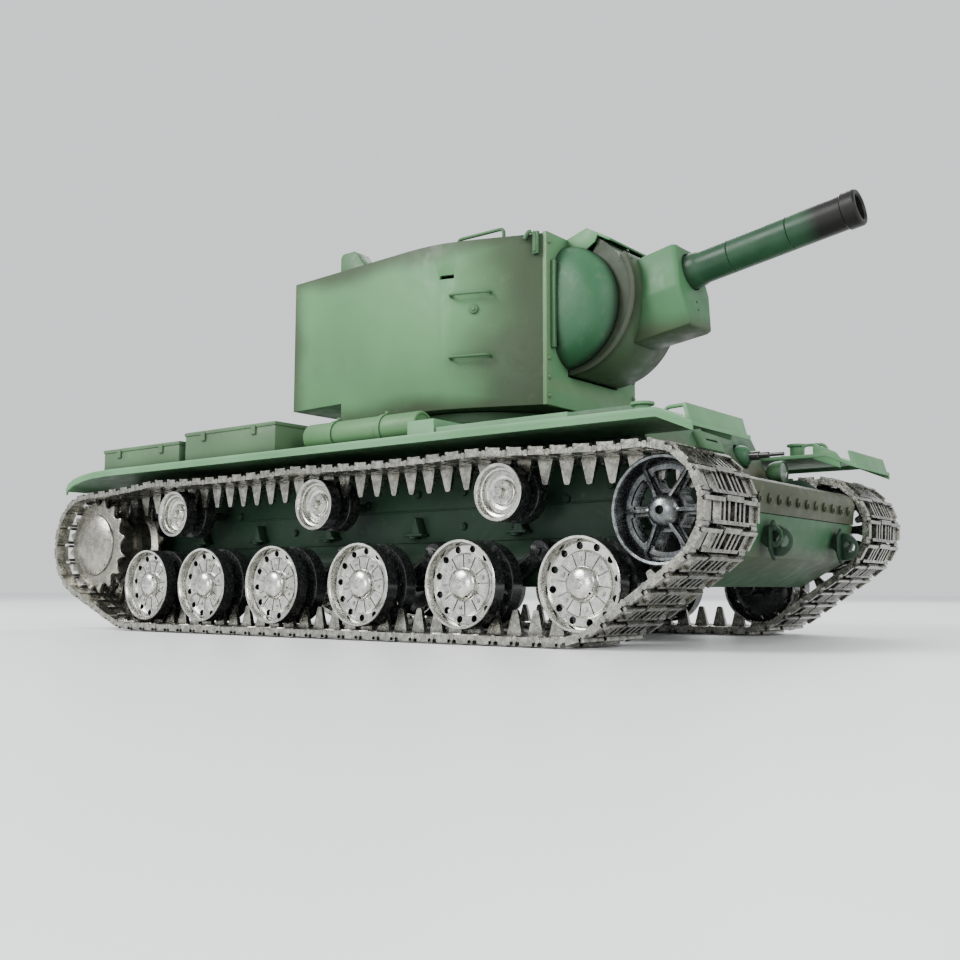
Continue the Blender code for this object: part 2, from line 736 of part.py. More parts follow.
mantlet = part("mantlet", tilted(rotor_sector(), ELEVATION), "gun_green", trunnion)
drum_core = disc(13 * MM, -ROTOR_HALF, ROTOR_HALF, 20)
pins = disc(TRUNNION_PIN, -ROTOR_HALF - TRUNNION_REACH, ROTOR_HALF + TRUNNION_REACH, 12)
combine(mantlet, [drum_core, pins, tilted(gun_box(), ELEVATION)], "UNION")
sleeve_bore = disc(BARREL_RADIUS + RUNNING_GAP, -30 * MM, 70 * MM, 24, "X")
combine(mantlet, [tilted(sleeve_bore, ELEVATION)], "DIFFERENCE")

barrel = tilted(disc(BARREL_RADIUS, -BREECH_LENGTH, BARREL_LENGTH - 5 * MM, 24, "X"), ELEVATION)
gun_barrel = part("gun_barrel", barrel, "gun_green", trunnion)
muzzle_ring = disc(
    BARREL_RADIUS + 0.45 * MM, BARREL_LENGTH - 5.5 * MM, BARREL_LENGTH, 24, "X"
)
combine(gun_barrel, [tilted(muzzle_ring, ELEVATION)], "UNION")
bore = disc(BORE_RADIUS, BARREL_LENGTH - BORE_DEPTH, BARREL_LENGTH + 5 * MM, 20, "X")
combine(gun_barrel, [tilted(bore, ELEVATION)], "DIFFERENCE")

# ---------------------------------------------------------------- running gear

rim_inner = GUIDE_SLOT / 2
rim_outer = rim_inner + RIM_WIDTH
axle_bore = AXLE_RADIUS + RUNNING_GAP


def twin_wheel(radius, hub, dish):
    """Half section of a double-rimmed wheel: the outer face is dished around its hub."""
    groove = radius - GUIDE_HEIGHT - 1.2 * MM
    web = 2.2 * MM
    return [
        (axle_bore, rim_outer),
        (hub, rim_outer),
        (hub, rim_outer - dish),
        (radius - web, rim_outer - dish),
        (radius - web, rim_outer),
        (radius, rim_outer),
        (radius, rim_inner),
        (groove, rim_inner),
        (groove, -rim_inner),
        (radius, -rim_inner),
        (radius, -rim_outer),
        (axle_bore, -rim_outer),
    ]


def swing_arm(name, x, side):
    """A cranked arm: its pivot pin turns in the hull and its axle carries the wheel."""
    pivot = (x + ARM_REACH, hull_half * side, pivot_z)
    inner = GAP
    outer = inner + ARM_THICKNESS
    length = hypot(ARM_REACH, ARM_RISE)
    lean = atan2(-ARM_RISE, -ARM_REACH)
    beam = block((0, 0, -3 * MM), (length, outer - inner, 3 * MM))
    bmesh.ops.rotate(beam, cent=(0, 0, 0), matrix=Matrix.Rotation(-lean, 3, "Y"), verts=beam.verts)
    shifted(beam, (0, inner if side > 0 else -outer, 0))
    arm = part(name, beam, "gloss_black", pivot)
    boss = disc(4.6 * MM, *across(inner, outer + 0.4 * MM, side), 12)
    pin = disc(AXLE_RADIUS, *across(-HULL_WALL - 1.4 * MM, outer, side), 10)
    eye = disc(4.2 * MM, *across(inner, outer + 0.4 * MM, side), 12)
    axle_end = TRACK_Y + rim_outer - 1 * MM - hull_half
    axle = disc(AXLE_RADIUS, *across(inner + 1 * MM, axle_end, side), 10)
    offset = (-ARM_REACH, 0, -ARM_RISE)
    combine(arm, [boss, pin, shifted(eye, offset), shifted(axle, offset)], "UNION")
    return arm


def sprocket(name, side):
    """A drum with two toothed rings and a domed cap, and a shaft into the hull."""
    ring = TOOTH_RING_Y + TOOTH_RING_WIDTH / 2
    groove = SPROCKET_RADIUS - GUIDE_HEIGHT - 1.2 * MM
    profile = [
        (0.0, ring + 4.4 * MM),
        (8 * MM, ring + 3.8 * MM),
        (15.5 * MM, ring + 2 * MM),
        (16.6 * MM, ring),
        (SPROCKET_RADIUS, ring),
        (SPROCKET_RADIUS, rim_inner),
        (groove, rim_inner),
        (groove, -rim_inner),
        (SPROCKET_RADIUS, -rim_inner),
        (SPROCKET_RADIUS, -ring),
        (0.0, -ring),
    ]
    middle = (SPROCKET_X, TRACK_Y * side, SPROCKET_Z)
    obj = turned_part(name, profile, "cast_metal", middle, side, 20)
    pitch = 2 * pi / SPROCKET_TEETH
    root = SPROCKET_RADIUS - 0.6 * MM
    tip = SPROCKET_RADIUS + TOOTH_HEIGHT
    outline = []
    for tooth in range(SPROCKET_TEETH):
        for turn, radius in ((-0.32, root), (-0.12, tip), (0.12, tip), (0.32, root)):
            angle = (tooth + turn) * pitch
            outline.append((radius * cos(angle), radius * sin(angle)))
    half_ring = TOOTH_RING_WIDTH / 2 - 0.1 * MM
    rings = [
        prism(outline, centre - half_ring, centre + half_ring)
        for centre in (TOOTH_RING_Y, -TOOTH_RING_Y)
    ]
    shaft_end = hull_half - HULL_WALL - 1.5 * MM - TRACK_Y
    shaft = disc(AXLE_RADIUS, *across(shaft_end, -ring + 1 * MM, side), 12)
    combine(obj, rings + [shaft], "UNION")
    return obj


for name, side in SIDES.items():
    for index, x in enumerate(WHEEL_X, start=1):
        swing_arm(f"swing_arm_{name}_{index}", x, side)
        profile = twin_wheel(WHEEL_RADIUS, 7 * MM, 2.4 * MM)
        place = (x, TRACK_Y * side, wheel_z)
        turned_part(f"road_wheel_{name}_{index}", profile, "cast_metal", place, side, 14)
    for index, x in enumerate(ROLLER_X, start=1):
        profile = twin_wheel(ROLLER_RADIUS, 4 * MM, 1.8 * MM)
        place = (x, TRACK_Y * side, ROLLER_Z)
        turned_part(f"return_roller_{name}_{index}", profile, "cast_metal", place, side, 12)
    profile = twin_wheel(IDLER_RADIUS, 6 * MM, 3.6 * MM)
    place = (IDLER_X, TRACK_Y * side, IDLER_Z)
    turned_part(f"idler_{name}", profile, "dark_steel", place, side, 18)
    sprocket(f"sprocket_{name}", side)

# ---------------------------------------------------------------- tracks


def arc_points(centre, radius, start, end, count):
    return [
        (
            centre[0] + radius * cos(start + (end - start) * i / count),
            centre[1] + radius * sin(start + (end - start) * i / count),
        )
        for i in range(count + 1)
    ]


def track_path():
    """The line of the track's inner face, clockwise from above the rear roller, as (x, z)."""
    idler = (IDLER_X, IDLER_Z)
    drive = (SPROCKET_X, SPROCKET_Z)
    idler_r = IDLER_RADIUS + GAP
    drive_r = SPROCKET_RADIUS + GAP
    top = ROLLER_Z + ROLLER_RADIUS + GAP
    ground = TRACK_THICKNESS
    front_wheel = (WHEEL_X[-1], wheel_z)
    rear_wheel = (WHEEL_X[0], wheel_z)
    wheel_r = WHEEL_RADIUS + GAP

    def tangent(low_centre, low_r, high_centre, high_r, side_sign):
        """Angle of the outward normal of the line that touches both circles."""
        dx = high_centre[0] - low_centre[0]
        dz = high_centre[1] - low_centre[1]
        reach = hypot(dx, dz)
        base = atan2(dz, dx)
        return base + side_sign * (pi / 2 + atan2(high_r - low_r, reach))

    front_angle = tangent(front_wheel, wheel_r, idler, idler_r, -1)
    rear_angle = tangent(rear_wheel, wheel_r, drive, drive_r, 1)
    path = [(x, top) for x in ROLLER_X]
    crest = radians(82)
    path += arc_points(idler, idler_r, crest, front_angle, 10)
    path += arc_points(front_wheel, wheel_r, front_angle, -pi / 2, 3)
    path += [(x, ground) for x in WHEEL_X[-2:0:-1]]
    path += arc_points(rear_wheel, wheel_r, -pi / 2, rear_angle - 2 * pi, 3)
    path += arc_points(drive, drive_r, rear_angle - 2 * pi, radians(-262), 11)
    return path


def track_section(side):
    """Half widths and depths of the belt, with the guide ridge and the two tooth channels."""
    half = TRACK_WIDTH / 2
    window_in = TOOTH_RING_Y - TOOTH_RING_WIDTH / 2 - 0.5 * MM
    window_out = TOOTH_RING_Y + TOOTH_RING_WIDTH / 2 + 0.5 * MM
    guide = GUIDE_WIDTH / 2
    right = [
        (guide, GUIDE_HEIGHT),
        (guide, 0.0),
        (window_in, 0.0),
        (window_in, -WINDOW_DEPTH),
        (window_out, -WINDOW_DEPTH),
        (window_out, 0.0),
        (half, 0.0),
        (half, -TRACK_THICKNESS),
    ]
    return right + [(-y, depth) for y, depth in right[::-1]]


def track_loop(name, side):
    """Sweeps the section along the path; the loop closes on itself."""
    path = track_path()
    section_points = track_section(side)
    bm = bmesh.new()
    rings = []
    count = len(path)
    for i, (x, z) in enumerate(path):
        before = Vector((x - path[i - 1][0], z - path[i - 1][1])).normalized()
        after_point = path[(i + 1) % count]
        after = Vector((after_point[0] - x, after_point[1] - z)).normalized()
        along = (before + after).normalized()
        inward = Vector((along.y, -along.x))
        stretch = 1 / max(0.5, along.dot(after))
        ring = []
        for y, depth in section_points:
            point = Vector((x, z)) + inward * depth * stretch
            ring.append(bm.verts.new((point.x, y, point.y)))
        rings.append([bm.edges.new(pair) for pair in zip(ring, ring[1:] + ring[:1])])
    for first, second in zip(rings, rings[1:] + rings[:1]):
        bmesh.ops.bridge_loops(bm, edges=first + second)
    return part(name, bm, "cast_metal", (0, TRACK_Y * side, 0))


for name, side in SIDES.items():
    track_loop(f"track_{name}", side)

# ---------------------------------------------------------------- inside the hull

inside = hull_half - HULL_WALL - GAP
floor = BELLY_Z + HULL_WALL + GAP
for name, side in SIDES.items():
    y_low, y_high = across(6 * MM, inside - 2 * MM, side)
    low = (SPROCKET_X + 4 * MM, y_low, SPROCKET_Z - 8 * MM)
    high = (SPROCKET_X + 40 * MM, y_high, SPROCKET_Z + 10 * MM)
    gearbox = part(f"gearbox_{name}", block(low, high, 1 * MM), "housing_grey")
    motor_low, motor_high = across(12 * MM, inside - 8 * MM, side)
    motor = shifted(
        disc(8 * MM, motor_low, motor_high, 16), (SPROCKET_X + 46 * MM, 0, SPROCKET_Z)
    )
    combine(gearbox, [motor], "UNION")

part(
    "battery",
    block((64 * MM, -22 * MM, floor), (194 * MM, 22 * MM, floor + 24 * MM), 3 * MM),
    "battery_blue",
)
part(
    "receiver_board",
    block((212 * MM, -30 * MM, floor), (268 * MM, 30 * MM, floor + 9 * MM)),
    "board_green",
)

# ---------------------------------------------------------------- frame

bpy.context.view_layer.update()
graph = bpy.context.evaluated_depsgraph_get()
reach = []
for obj in tank.objects:
    if obj.type == "MESH":
        shape = obj.evaluated_get(graph)
        reach += [(shape.matrix_world @ Vector(corner)).x for corner in shape.bound_box]
origin.location.x = -(min(reach) + max(reach)) / 2
bpy.context.view_layer.update()
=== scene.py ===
import math

import bmesh
import bpy
from mathutils import Matrix, Vector


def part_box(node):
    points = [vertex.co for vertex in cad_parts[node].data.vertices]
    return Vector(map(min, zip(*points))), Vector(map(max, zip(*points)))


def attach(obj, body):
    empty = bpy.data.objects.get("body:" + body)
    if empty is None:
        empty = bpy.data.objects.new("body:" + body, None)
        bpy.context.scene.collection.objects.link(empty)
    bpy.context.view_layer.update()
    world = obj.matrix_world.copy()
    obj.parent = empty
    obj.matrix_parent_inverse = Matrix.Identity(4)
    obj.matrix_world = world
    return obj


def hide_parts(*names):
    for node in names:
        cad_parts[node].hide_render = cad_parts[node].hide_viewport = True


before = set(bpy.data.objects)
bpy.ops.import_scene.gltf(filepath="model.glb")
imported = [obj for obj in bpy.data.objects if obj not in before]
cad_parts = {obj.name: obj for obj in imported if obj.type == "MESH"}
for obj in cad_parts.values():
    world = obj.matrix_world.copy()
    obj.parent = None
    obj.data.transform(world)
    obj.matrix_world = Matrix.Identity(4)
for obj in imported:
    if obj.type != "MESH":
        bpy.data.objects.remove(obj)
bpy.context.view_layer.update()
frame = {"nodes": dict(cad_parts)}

mm = 0.001
turn = 2 * math.pi
weld = 0.002 * mm  # points closer than this are one point
sides = {"left": 1, "right": -1}
scene = bpy.context.scene
print("frame loaded:", len(frame["nodes"]), "nodes")


def middle(node):
    return (low(node) + high(node)) / 2


def low(node):
    return Vector(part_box(node)[0])


def high(node):
    return Vector(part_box(node)[1])


paintLook = {
    "green": (0.070, 0.190, 0.085), "shade": (0.040, 0.115, 0.055),
    "airbrushAndShade": (0.078, 0.070, 0.048), "dust": (0.235, 0.265, 0.170),
    "roughness": 0.46, "specular": 0.22, "grain": 2600.0, "grainHeight": 0.00006,
}


def startMaterial(name, roughness, metallic):
    mat = bpy.data.materials.new(name)
    mat.use_nodes = True
    tree = mat.node_tree
    shader = tree.nodes["Principled BSDF"]
    shader.inputs["Roughness"].default_value = roughness
    shader.inputs["Metallic"].default_value = metallic
    shader.inputs["Specular IOR Level"].default_value = paintLook["specular"]
    coords = tree.nodes.new("ShaderNodeTexCoord")
    return mat, tree, shader, coords.outputs["Object"]


def noiseNode(tree, vector, scale, detail=3.0, roughness=0.5):
    noise = tree.nodes.new("ShaderNodeTexNoise")
    noise.inputs["Scale"].default_value = scale
    noise.inputs["Detail"].default_value = detail
    noise.inputs["Roughness"].default_value = roughness
    tree.links.new(vector, noise.inputs["Vector"])
    return noise.outputs["Fac"]


def rangeNode(tree, value, fromMin, fromMax, toMin=0.0, toMax=1.0):
    node = tree.nodes.new("ShaderNodeMapRange")
    node.interpolation_type = "SMOOTHSTEP"
    for label, number in (("From Min", fromMin), ("From Max", fromMax), ("To Min", toMin),
                          ("To Max", toMax)):
        node.inputs[label].default_value = number
    tree.links.new(value, node.inputs["Value"])
    return node.outputs["Result"]


def mathNode(tree, operation, first, second=None):
    node = tree.nodes.new("ShaderNodeMath")
    node.operation = operation
    for index, value in enumerate((first, second)):
        if value is None:
            continue
        if isinstance(value, (int, float)):
            node.inputs[index].default_value = value
        else:
            tree.links.new(value, node.inputs[index])
    return node.outputs[0]


def mixColour(tree, factor, first, second):
    node = tree.nodes.new("ShaderNodeMix")
    node.data_type = "RGBA"
    for label, value in (("Factor", factor), ("A", first), ("B", second)):
        socket = next(s for s in node.inputs if s.name == label and s.enabled)
        if isinstance(value, tuple):
            socket.default_value = (*value, 1.0)
        elif isinstance(value, (int, float)):
            socket.default_value = value
        else:
            tree.links.new(value, socket)
    return next(s for s in node.outputs if s.enabled)


def addBump(tree, shader, height, strength, distance):
    bump = tree.nodes.new("ShaderNodeBump")
    bump.inputs["Strength"].default_value = strength
    bump.inputs["Distance"].default_value = distance
    tree.links.new(height, bump.inputs["Height"])
    tree.links.new(bump.outputs["Normal"], shader.inputs["Normal"])


# ambient occlusion, used to paint shade into colours in hollows
def occlusionShade(tree, distance):
    node = tree.nodes.new("ShaderNodeAmbientOcclusion")
    node.samples = 6
    node.inputs["Distance"].default_value = distance
    return node.outputs["AO"]


def paintMaterial(name, edges=(), green=None, shade=None, airbrushAndShade=None, dustAmount=0.25, strength=0.85,
                  roughness=None, grain=1.0, inner=0.65):
    # edges: (axis, place, reach) planes in metres that the edge colour follows: airbrushed paint on some
    # materials, painted shade on others
    look = paintLook
    mat, tree, shader, coords = startMaterial(name, roughness or look["roughness"], 0.0)
    large = noiseNode(tree, coords, 22.0, 2.0)
    small = noiseNode(tree, coords, 160.0, 4.0, 0.6)
    colour = mixColour(tree, rangeNode(tree, large, 0.35, 0.65),
                       shade or look["shade"], green or look["green"])
    split = tree.nodes.new("ShaderNodeSeparateXYZ")
    tree.links.new(coords, split.inputs[0])
    mask = None
    for axis, place, reach in edges:
        along = split.outputs["XYZ".index(axis[-1])]
        if axis.startswith("abs"):
            along = mathNode(tree, "ABSOLUTE", along)
        gap = mathNode(tree, "ABSOLUTE", mathNode(tree, "SUBTRACT", along, place))
        wobble = mathNode(tree, "MULTIPLY", mathNode(tree, "SUBTRACT", large, 0.5), reach * 1.1)
        near = rangeNode(tree, mathNode(tree, "ADD", gap, wobble), 0.0, reach, 1.0, 0.0)
        mask = near if mask is None else mathNode(tree, "MAXIMUM", mask, near)
    # the edge colour: airbrushed paint, and painted shade on the materials whose bands stand for shade
    if mask is not None:
        colour = mixColour(tree, mathNode(tree, "MULTIPLY", mask, strength),
                           colour, airbrushAndShade or look["airbrushAndShade"])
    spots = rangeNode(tree, small, 0.56, 0.80, 0.0, dustAmount)
    colour = mixColour(tree, spots, colour, look["dust"])
    # painted shade: colour darkened towards near black in hollows found by ambient occlusion; inner sets
    # how dark it goes
    paintedShade = rangeNode(tree, occlusionShade(tree, 0.006), 0.25, 0.95, inner, 0.0)
    colour = mixColour(tree, paintedShade, colour, (0.012, 0.022, 0.014))
    tree.links.new(colour, shader.inputs["Base Color"])
    rough = rangeNode(tree, small, 0.3, 0.7, (roughness or look["roughness"]) - 0.06,
                      (roughness or look["roughness"]) + 0.10)
    tree.links.new(rough, shader.inputs["Roughness"])
    fine = noiseNode(tree, coords, look["grain"], 2.0)
    addBump(tree, shader, fine, 0.35, look["grainHeight"] * grain)
    return mat


def metalMaterial(name, bright, dark, roughness, hollowShade=0.75, hollowShadeReach=0.0016, metallic=1.0, rust=0.15):
    mat, tree, shader, coords = startMaterial(name, roughness, metallic)
    cloud = noiseNode(tree, coords, 300.0, 4.0, 0.65)
    pits = noiseNode(tree, coords, 1500.0, 3.0, 0.6)
    tone = rangeNode(tree, cloud, 0.35, 0.70)
    colour = mixColour(tree, tone, dark, bright)
    warm = rangeNode(tree, noiseNode(tree, coords, 90.0, 2.0), 0.55, 0.75, 0.0, rust)
    colour = mixColour(tree, warm, colour, (0.36, 0.30, 0.21))
    # painted shade: colour darkened in hollows found by ambient occlusion
    paintedShade = rangeNode(tree, occlusionShade(tree, hollowShadeReach), 0.30, 0.92, hollowShade, 0.0)
    colour = mixColour(tree, paintedShade, colour, (0.015, 0.015, 0.014))
    tree.links.new(colour, shader.inputs["Base Color"])
    tree.links.new(rangeNode(tree, pits, 0.3, 0.7, roughness - 0.07, roughness + 0.14),
                   shader.inputs["Roughness"])
    addBump(tree, shader, pits, 0.4, 0.00008)
    return mat


def glossMaterial(name, colour, roughness, speck=0.03):
    mat, tree, shader, coords = startMaterial(name, roughness, 0.0)
    shader.inputs["Coat Weight"].default_value = 0.5
    shader.inputs["Coat Roughness"].default_value = 0.08
    cloud = noiseNode(tree, coords, 700.0, 3.0)
    lighter = tuple(c + speck for c in colour)
    tree.links.new(mixColour(tree, rangeNode(tree, cloud, 0.45, 0.8), colour, lighter),
                   shader.inputs["Base Color"])
    tree.links.new(rangeNode(tree, cloud, 0.3, 0.7, roughness, roughness + 0.15),
                   shader.inputs["Roughness"])
    addBump(tree, shader, cloud, 0.2, 0.00005)
    return mat


# the fourth and fifth numbers set how dark the painted shade in hollows goes and how far it reaches
castMetal = metalMaterial("castMetal", (0.66, 0.655, 0.61), (0.42, 0.42, 0.39), 0.20, 0.80, 0.0012,
                          rust=0.08)
trackMetal = metalMaterial("trackMetal", (0.44, 0.43, 0.38), (0.20, 0.20, 0.18), 0.27, 0.92, 0.0020,
                           rust=0.25)
idlerMetal = metalMaterial("idlerMetal", (0.19, 0.205, 0.205), (0.080, 0.086, 0.090), 0.25)
sprocketMetal = metalMaterial("sprocketMetal", (0.38, 0.37, 0.32), (0.24, 0.235, 0.21), 0.30)
glossBlack = glossMaterial("glossBlack", (0.010, 0.011, 0.011), 0.22)
gunBlack = glossMaterial("gunBlack", (0.020, 0.021, 0.019), 0.42)
print("materials made")


def turned(bm, matrix):
    bmesh.ops.transform(bm, matrix=matrix, verts=bm.verts)
    return bm


def moved(bm, offset):
    bmesh.ops.translate(bm, vec=offset, verts=bm.verts)
    return bm


def placed(bm, x=0.0, y=0.0, z=0.0):
    # moved by millimetres
    return moved(bm, (x * mm, y * mm, z * mm))


def flipped(bm):
    # the same shape for the other side
    bmesh.ops.scale(bm, vec=(1, -1, 1), verts=bm.verts)
    bmesh.ops.reverse_faces(bm, faces=bm.faces)
    return bm


def facedOut(bm):
    bmesh.ops.recalc_face_normals(bm, faces=bm.faces)
    if bm.calc_volume(signed=True) < 0:
        bmesh.ops.reverse_faces(bm, faces=bm.faces)
    return bm


def sideEnds(sign, inner, outer):
    # where a side piece starts and ends along Y
    return sorted((sign * inner, sign * outer))


def onCircle(angle, radius, y=0.0):
    return Vector((math.cos(angle), 0, math.sin(angle))) * radius + Vector((0, y, 0))


def rounded(bm, width, segments=2, minAngle=30):
    edges = [e for e in bm.edges if len(e.link_faces) == 2
             and e.calc_face_angle() > math.radians(minAngle)]
    if width and edges:
        bmesh.ops.bevel(bm, geom=edges, offset=width, segments=segments, affect="EDGES", profile=0.5,
                        material=-1, clamp_overlap=True)
    return bm


def block(lowCorner, highCorner, edge=0.0, segments=1):
    # corners and edge in millimetres
    bm = bmesh.new()
    bmesh.ops.create_cube(bm, size=1)
    lowCorner, highCorner = Vector(lowCorner) * mm, Vector(highCorner) * mm
    bmesh.ops.scale(bm, vec=highCorner - lowCorner, verts=bm.verts)
    moved(bm, (highCorner + lowCorner) / 2)
    return rounded(bm, edge * mm, segments)


def cylinder(radius, start, end, axis="Y", steps=20, endRadius=None, edge=0.0):
    # lengths in millimetres, along one axis
    bm = bmesh.new()
    tipRadius = radius if endRadius is None else endRadius
    bmesh.ops.create_cone(bm, cap_ends=True, segments=steps, radius1=radius * mm, radius2=tipRadius * mm,
                          depth=(end - start) * mm)
    placed(bm, z=(start + end) / 2)
    if axis == "X":
        turned(bm, Matrix.Rotation(math.pi / 2, 4, "Y"))
    if axis == "Y":
        turned(bm, Matrix.Rotation(-math.pi / 2, 4, "X"))
    return rounded(bm, edge * mm, 1, 50)


def spun(profile, steps=48):
    # a shape turned about Y; its profile is (radius, y) in millimetres
    bm = bmesh.new()
    verts = [bm.verts.new((r * mm, y * mm, 0)) for r, y in profile]
    for first, second in zip(verts, verts[1:]):
        bm.edges.new((first, second))
    if profile[0][0] > 0:
        bm.edges.new((verts[-1], verts[0]))
    bmesh.ops.spin(bm, geom=bm.verts[:] + bm.edges[:], cent=(0, 0, 0), axis=(0, 1, 0), angle=turn,
                   steps=steps, use_merge=True)
    bmesh.ops.remove_doubles(bm, verts=bm.verts, dist=2 * weld)
    return facedOut(bm)


def plate(outline, start, end, flat="XZ", edge=0.0):
    # an outline extruded between two levels, all in millimetres
    bm = bmesh.new()
    if flat == "XZ":
        verts = [bm.verts.new((a * mm, start * mm, b * mm)) for a, b in outline]
        step = Vector((0, (end - start) * mm, 0))
    elif flat == "YZ":
        verts = [bm.verts.new((start * mm, a * mm, b * mm)) for a, b in outline]
        step = Vector(((end - start) * mm, 0, 0))
    else:
        verts = [bm.verts.new((a * mm, b * mm, start * mm)) for a, b in outline]
        step = Vector((0, 0, (end - start) * mm))
    face = bm.faces.new(verts)
    grown = bmesh.ops.extrude_face_region(bm, geom=[face])["geom"]
    bmesh.ops.translate(bm, vec=step, verts=[v for v in grown if isinstance(v, bmesh.types.BMVert)])
    return rounded(facedOut(bm), edge, 2)  # clamped: any edge value rounds as far as the plate allows


def joined(*shapes):
    whole = shapes[0]
    for shape in shapes[1:]:
        mesh = bpy.data.meshes.new("joining")
        shape.to_mesh(mesh)
        shape.free()
        whole.from_mesh(mesh)
        bpy.data.meshes.remove(mesh)
    return whole


def spare(bm, name):
    mesh = bpy.data.meshes.new(name)
    bm.to_mesh(mesh)
    bm.free()
    obj = bpy.data.objects.new(name, mesh)
    scene.collection.objects.link(obj)
    return obj


def carved(bm, cutter, operation="DIFFERENCE"):
    body, tool = spare(bm, "body"), spare(cutter, "cutter")
    modifier = body.modifiers.new("carve", "BOOLEAN")
    modifier.operation = operation
    modifier.solver = "EXACT"
    modifier.use_self = True
    modifier.object = tool
    graph = bpy.context.evaluated_depsgraph_get()
    mesh = bpy.data.meshes.new_from_object(body.evaluated_get(graph))
    result = bmesh.new()
    result.from_mesh(mesh)
    for obj in (body, tool):
        bpy.data.objects.remove(obj, do_unlink=True)
    return result


def softCorners(points, radius, steps=5):
    # a bent rod's path with its inner corners rounded; lengths in millimetres
    path = [Vector(points[0])]
    for before, corner, after in zip(points, points[1:], points[2:]):
        corner = Vector(corner)
        start = corner + (Vector(before) - corner).normalized() * radius
        end = corner + (Vector(after) - corner).normalized() * radius
        for i in range(steps + 1):
            t = i / steps
            path.append(start.lerp(corner, t).lerp(corner.lerp(end, t), t))
    path.append(Vector(points[-1]))
    return path


def wire(points, radius, corner=2.0, sides=10):
    # a bent rod through points in millimetres
    curve = bpy.data.curves.new("rod", "CURVE")
    curve.dimensions = "3D"
    curve.bevel_depth = radius * mm
    curve.bevel_resolution = max(1, (sides - 4) // 2)
    curve.use_fill_caps = True
    path = softCorners(points, corner)
    spline = curve.splines.new("POLY")
    spline.points.add(len(path) - 1)
    for point, place in zip(spline.points, path):
        point.co = (*(place * mm), 1)
    obj = bpy.data.objects.new("rod", curve)
    scene.collection.objects.link(obj)
    graph = bpy.context.evaluated_depsgraph_get()
    mesh = bpy.data.meshes.new_from_object(obj.evaluated_get(graph))
    bpy.data.objects.remove(obj, do_unlink=True)
    bm = bmesh.new()
    bm.from_mesh(mesh)
    bmesh.ops.remove_doubles(bm, verts=bm.verts, dist=weld)
    bmesh.ops.recalc_face_normals(bm, faces=bm.faces)
    return bm


def bolt(place, normal, radius=1.3, height=1.0, steps=6, domed=False):
    # a bolt head on a face; lengths in millimetres
    bm = cylinder(radius, -0.2, height, "Z", steps, radius * (0.55 if domed else 0.9))
    rounded(bm, 0.12 * radius * mm, 1, 40)
    turned(bm, Vector((0, 0, 1)).rotation_difference(Vector(normal)).to_matrix().to_4x4())
    return moved(bm, Vector(place) * mm)


def addPiece(name, bm, material, body, replaces=(), sharp=35, extra=None):
    mesh = bpy.data.meshes.new(name)
    bm.to_mesh(mesh)
    bm.free()
    mesh.materials.append(material)
    if extra:
        mesh.materials.append(extra)
    mesh.shade_smooth()
    mesh.set_sharp_from_angle(angle=math.radians(sharp))
    obj = bpy.data.objects.new(name, mesh)
    scene.collection.objects.link(obj)
    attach(obj, body)
    for node in replaces:
        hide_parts(node)
    return obj


def copyOf(node, edge=0.0, segments=2):
    # a CAD solid's shape with its seams merged and its sharp edges eased
    bm = bmesh.new()
    bm.from_mesh(frame["nodes"][node].data)
    bmesh.ops.remove_doubles(bm, verts=bm.verts, dist=weld)
    bmesh.ops.dissolve_limit(bm, angle_limit=math.radians(0.6), verts=bm.verts, edges=bm.edges)
    rounded(bm, edge, segments, 35)
    return bm


cameraLook = {"place": (354.4, -434.6, 21.0), "yaw": 128.21, "pitch": 5.83, "roll": 0.175,
              "focal": 1087.2,
              "width": 960, "sensor": 36.0}


def addCamera():
    data = bpy.data.cameras.new("camera")
    data.sensor_width = cameraLook["sensor"]
    data.lens = cameraLook["sensor"] * cameraLook["focal"] / cameraLook["width"]
    data.clip_start = 0.01
    camera = bpy.data.objects.new("camera", data)
    scene.collection.objects.link(camera)
    aim = Matrix.Rotation(math.radians(cameraLook["yaw"] - 90), 4, "Z")
    aim @= Matrix.Rotation(math.radians(90 + cameraLook["pitch"]), 4, "X")
    aim @= Matrix.Rotation(math.radians(cameraLook["roll"]), 4, "Z")
    camera.matrix_world = Matrix.Translation(Vector(cameraLook["place"]) * mm) @ aim
    scene.camera = camera


def addFloor():
    bm = bmesh.new()
    bmesh.ops.create_grid(bm, x_segments=1, y_segments=1, size=6.0)
    placed(bm, z=-0.05)
    floor = spare(bm, "floor")
    mat, tree, shader, coords = startMaterial("paleFloor", 0.35, 0.0)
    shader.inputs["Base Color"].default_value = (0.86, 0.87, 0.87, 1)
    floor.data.materials.append(mat)


lightLook = {
    "key": ((-0.75, -1.35, 1.15), 0.9, 46.0), "front": ((1.6, -0.5, 0.75), 0.8, 15.0),
    "low": ((0.35, -1.6, 0.25), 0.6, 7.0), "back": ((-0.6, 1.5, 1.3), 1.2, 20.0),
}


def addLights():
    for name, (place, size, power) in lightLook.items():
        data = bpy.data.lights.new(name, "AREA")
        data.shape = "DISK"
        data.size = size
        data.energy = power
        light = bpy.data.objects.new(name, data)
        scene.collection.objects.link(light)
        light.location = place
        light.rotation_euler = (Vector((0, 0, 0.09)) - Vector(place)).to_track_quat("-Z", "Y").to_euler()
    world = bpy.data.worlds.new("studio")
    scene.world = world
    world.use_nodes = True
    background = world.node_tree.nodes["Background"]
    background.inputs["Color"].default_value = (0.96, 0.98, 1.0, 1)
    background.inputs["Strength"].default_value = 1.05


addCamera()
addFloor()
addLights()
print("camera, floor and lights set")


wheelLook = {"holes": 12, "holeCircle": 14.7, "hole": 1.5, "grooves": 12, "bolts": 6, "steps": 60}


